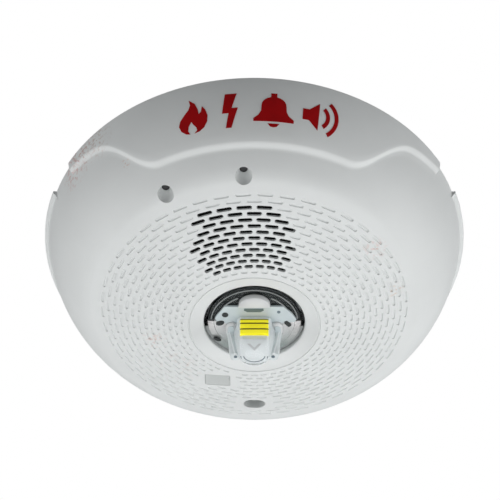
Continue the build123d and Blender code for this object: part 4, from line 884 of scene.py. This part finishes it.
# Shallow arrow on the optic's sloped tip
chevron = [(-2.8, 0.1), (0.0, 1.0), (2.8, 0.1), (1.7, 0.1), (0.0, 0.62), (-1.7, 0.1)]
slope = [(x, -2.0 + 2.4 * t, -58.2 - 1.7 * t) for x, t in chevron]
loops = [[(x, y - 0.58 * d, z - 0.82 * d) for x, y, z in slope] for d in (-0.3, 0.14)]
finish_piece(loft("optic_prism", loops), haze)

# Yellow bars lit by painted glow, with dark gaps of painted shade between them
BAR_LIMITS = (-46.8, -47.5, -48.8, -49.7, -51.9, -52.8, -55.2)
BAR_FRONT, GAP_FRONT, BAR_BACK, BAR_CORNER = -4.0, -3.75, -1.0, 0.3
for k, (high, low) in enumerate(zip(BAR_LIMITS, BAR_LIMITS[1:])):
    front, mat = (BAR_FRONT, phosphor) if k % 2 else (GAP_FRONT, phosphor_painted_shade)
    sections = ((low, 5.35, front + 0.25), (low + 0.3, 5.5, front), (high - 0.2, 5.5, front),
        (high, 5.4, front + 0.15))
    pillar("phosphor_bar_%d" % k, [(*part, BAR_BACK, BAR_CORNER) for part in sections], mat, 3)

# Ridges and legs at both sides, and dark details seen through the optic
RIDGE_SECTIONS = (
    (-46.9, 1.9, -0.7, 5.2, 1.7), (-46.6, 2.3, -1.2, 5.6, 2.1), (-45.9, 2.35, -1.4, 5.8, 2.3),
    (-45.0, 2.35, -1.4, 5.8, 2.3))
RIDGE_LINE = ((-47.15, 1.5, 0.2, 4.9, 1.4), (-46.8, 1.6, 0.1, 5.0, 1.5))
LEG_SECTIONS = (
    (-57.9, 1.4, 5.6, 8.0, 1.2), (-57.3, 2.0, 4.6, 8.5, 1.7), (-54.0, 1.8, 4.4, 8.2, 1.5),
    (-50.0, 1.4, 4.0, 7.6, 1.2), (-45.0, 1.2, 3.0, 7.0, 1.0))
LEG_LINE = ((-57.6, 0.28, 4.35, 5.0, 0.2), (-50.0, 0.22, 3.6, 4.3, 0.2), (-47.0, 0.2, 3.0, 3.6, 0.15))
for side, word in ((-1, "left"), (1, "right")):
    pillar("optic_ridge_" + word, RIDGE_SECTIONS, haze, x=side * 8.8)
    pillar("ridge_line_" + word, RIDGE_LINE, shoulder_glow, steps=6, x=side * 8.9)
    pillar("optic_leg_" + word, LEG_SECTIONS, leg_glow, tilt=side * 0.2, x=side * 9.9)
    pillar("leg_line_" + word, LEG_LINE, milky_glow, steps=4, tilt=side * 0.21, x=side * 10.2)
    oval("leg_foot_" + word, side * 7.3, 5.9, 0.7, 0.55, -58.1, slit_blue)
oval("spot_shoulder", -11.4, -5.1, 1.25, 1.2, -46.1, inner_shade)
oval("spot_left", -13.4, -0.7, 1.7, 1.15, -46.2, inner_shade, -24)
oval("spot_low_left", -14.7, 8.9, 1.7, 0.75, -45.55, inner_shade, 28)
oval("spot_right", 13.1, -0.3, 0.85, 1.6, -46.2, inner_shade, -40, 4.0)
oval("dot_right", 9.5, -6.6, 0.7, 0.7, -46.0, slit_blue)
for word, side in (("left", -1), ("right", 1)):
    oval("dot_ridge_" + word, side * 7.2, 4.8, 0.45, 0.6, -47.2, inner_shade)

# Dark ends of the two pockets: black discs of painted shade
for number, angle in enumerate(POCKETS):
    end = prism(circle(POCKET_HOLE, 28, spot(POCKET_RING, angle)), -32.15, -31.4)
    add_solid("pocket_shade_plug_%d" % number, end, black)

# Stage, light and camera
FLOOR_HALF, FLOOR_Z, FLOOR_GLOW = 6, -1.1, 0.25
LIGHTS = (
    ("key_below", (0.08, 0.25, -1.0), (0, 0, -0.04), 1.1, 5.4),
    ("side_right", (1.2, -0.1, -0.45), (0, 0, -0.02), 0.9, 5.2),
    ("side_left", (-1.2, -0.1, -0.45), (0, 0, -0.02), 0.9, 4.6),
    ("top_soft", (0.3, 0.4, 1.1), (0, 0, 0), 1.0, 8.0))
SKY_SLOPE, SKY_STRENGTH, SKY_COLOR = (0.04, 0.20, -0.13), 0.40, (0.97, 0.985, 1.0, 1)
CAMERA_LENS, CAMERA_SENSOR, CAMERA_SHIFT = 104.16, 36.0, -0.00866
CAMERA_ELEVATION, CAMERA_DISTANCE, CAMERA_AIM = 48.37, 0.6, (0, 0, -0.00213)

floor_mesh = bpy.data.meshes.new("floor")
corner_signs = ((-1, -1), (1, -1), (1, 1), (-1, 1))
floor_corners = [(sx * FLOOR_HALF, sy * FLOOR_HALF, FLOOR_Z) for sx, sy in corner_signs]
floor_mesh.from_pydata(floor_corners, [], [(0, 1, 2, 3)])
floor = new_object("floor", floor_mesh)
floor_pale = material("floor_pale", (0.85, 0.85, 0.85), 0.8, bump=0.02, bump_scale=40, mottle=0.01,
    mottle_scale=4, emission_color=(1, 1, 1, 1))
floor_nodes, floor_links, floor_shader, _, _ = parts_of(floor_pale)
seen = floor_nodes.new("ShaderNodeLightPath")
glow = floor_nodes.new("ShaderNodeMath")
glow.operation = "MULTIPLY"
glow.inputs[1].default_value = FLOOR_GLOW
floor_links.new(seen.outputs["Is Camera Ray"], glow.inputs[0])
floor_links.new(glow.outputs["Value"], floor_shader.inputs["Emission Strength"])
floor.data.materials.append(floor_pale)


def area_light(name, place, target, size, power):
    """Round soft light turned towards a point."""
    light = bpy.data.lights.new(name, "AREA")
    light.shape = "DISK"
    light.size = size
    light.energy = power
    obj = bpy.data.objects.new(name, light)
    bpy.context.scene.collection.objects.link(obj)
    obj.location = place
    obj.rotation_euler = (Vector(target) - Vector(place)).to_track_quat("-Z", "Y").to_euler()


for light_row in LIGHTS:
    area_light(*light_row)

# Soft sky for the light, plain white for the camera
world = bpy.data.worlds.new("studio")
bpy.context.scene.world = world
world.use_nodes = True
wn, wl = world.node_tree.nodes, world.node_tree.links
wn.clear()
w_out = wn.new("ShaderNodeOutputWorld")
w_mix = wn.new("ShaderNodeMixShader")
w_path = wn.new("ShaderNodeLightPath")
w_soft = wn.new("ShaderNodeBackground")
w_coord = wn.new("ShaderNodeTexCoord")
w_dot = wn.new("ShaderNodeVectorMath")
w_dot.operation = "DOT_PRODUCT"
w_dot.inputs[1].default_value = SKY_SLOPE
w_add = wn.new("ShaderNodeMath")
w_add.inputs[1].default_value = SKY_STRENGTH
wl.new(w_coord.outputs["Generated"], w_dot.inputs[0])
wl.new(w_dot.outputs["Value"], w_add.inputs[0])
wl.new(w_add.outputs["Value"], w_soft.inputs["Strength"])
w_white = wn.new("ShaderNodeBackground")
w_white.inputs["Color"].default_value = (1, 1, 1, 1)
w_white.inputs["Strength"].default_value = 1.0
w_soft.inputs["Color"].default_value = SKY_COLOR
wl.new(w_path.outputs["Is Camera Ray"], w_mix.inputs["Fac"])
wl.new(w_soft.outputs["Background"], w_mix.inputs[1])
wl.new(w_white.outputs["Background"], w_mix.inputs[2])
wl.new(w_mix.outputs["Shader"], w_out.inputs["Surface"])

scene = bpy.context.scene
scene.view_settings.view_transform = "Standard"
scene.view_settings.look = "None"
camera_data = bpy.data.cameras.new("camera")
camera_data.lens = CAMERA_LENS
camera_data.sensor_width = CAMERA_SENSOR
camera_data.shift_x = CAMERA_SHIFT
camera_data.clip_start = 0.01
camera = bpy.data.objects.new("camera", camera_data)
scene.collection.objects.link(camera)
elevation = math.radians(CAMERA_ELEVATION)
target = Vector(CAMERA_AIM)
camera.location = target - CAMERA_DISTANCE * Vector((0, math.cos(elevation), math.sin(elevation)))
camera.rotation_euler = (target - camera.location).to_track_quat("-Z", "Y").to_euler()
scene.camera = camera
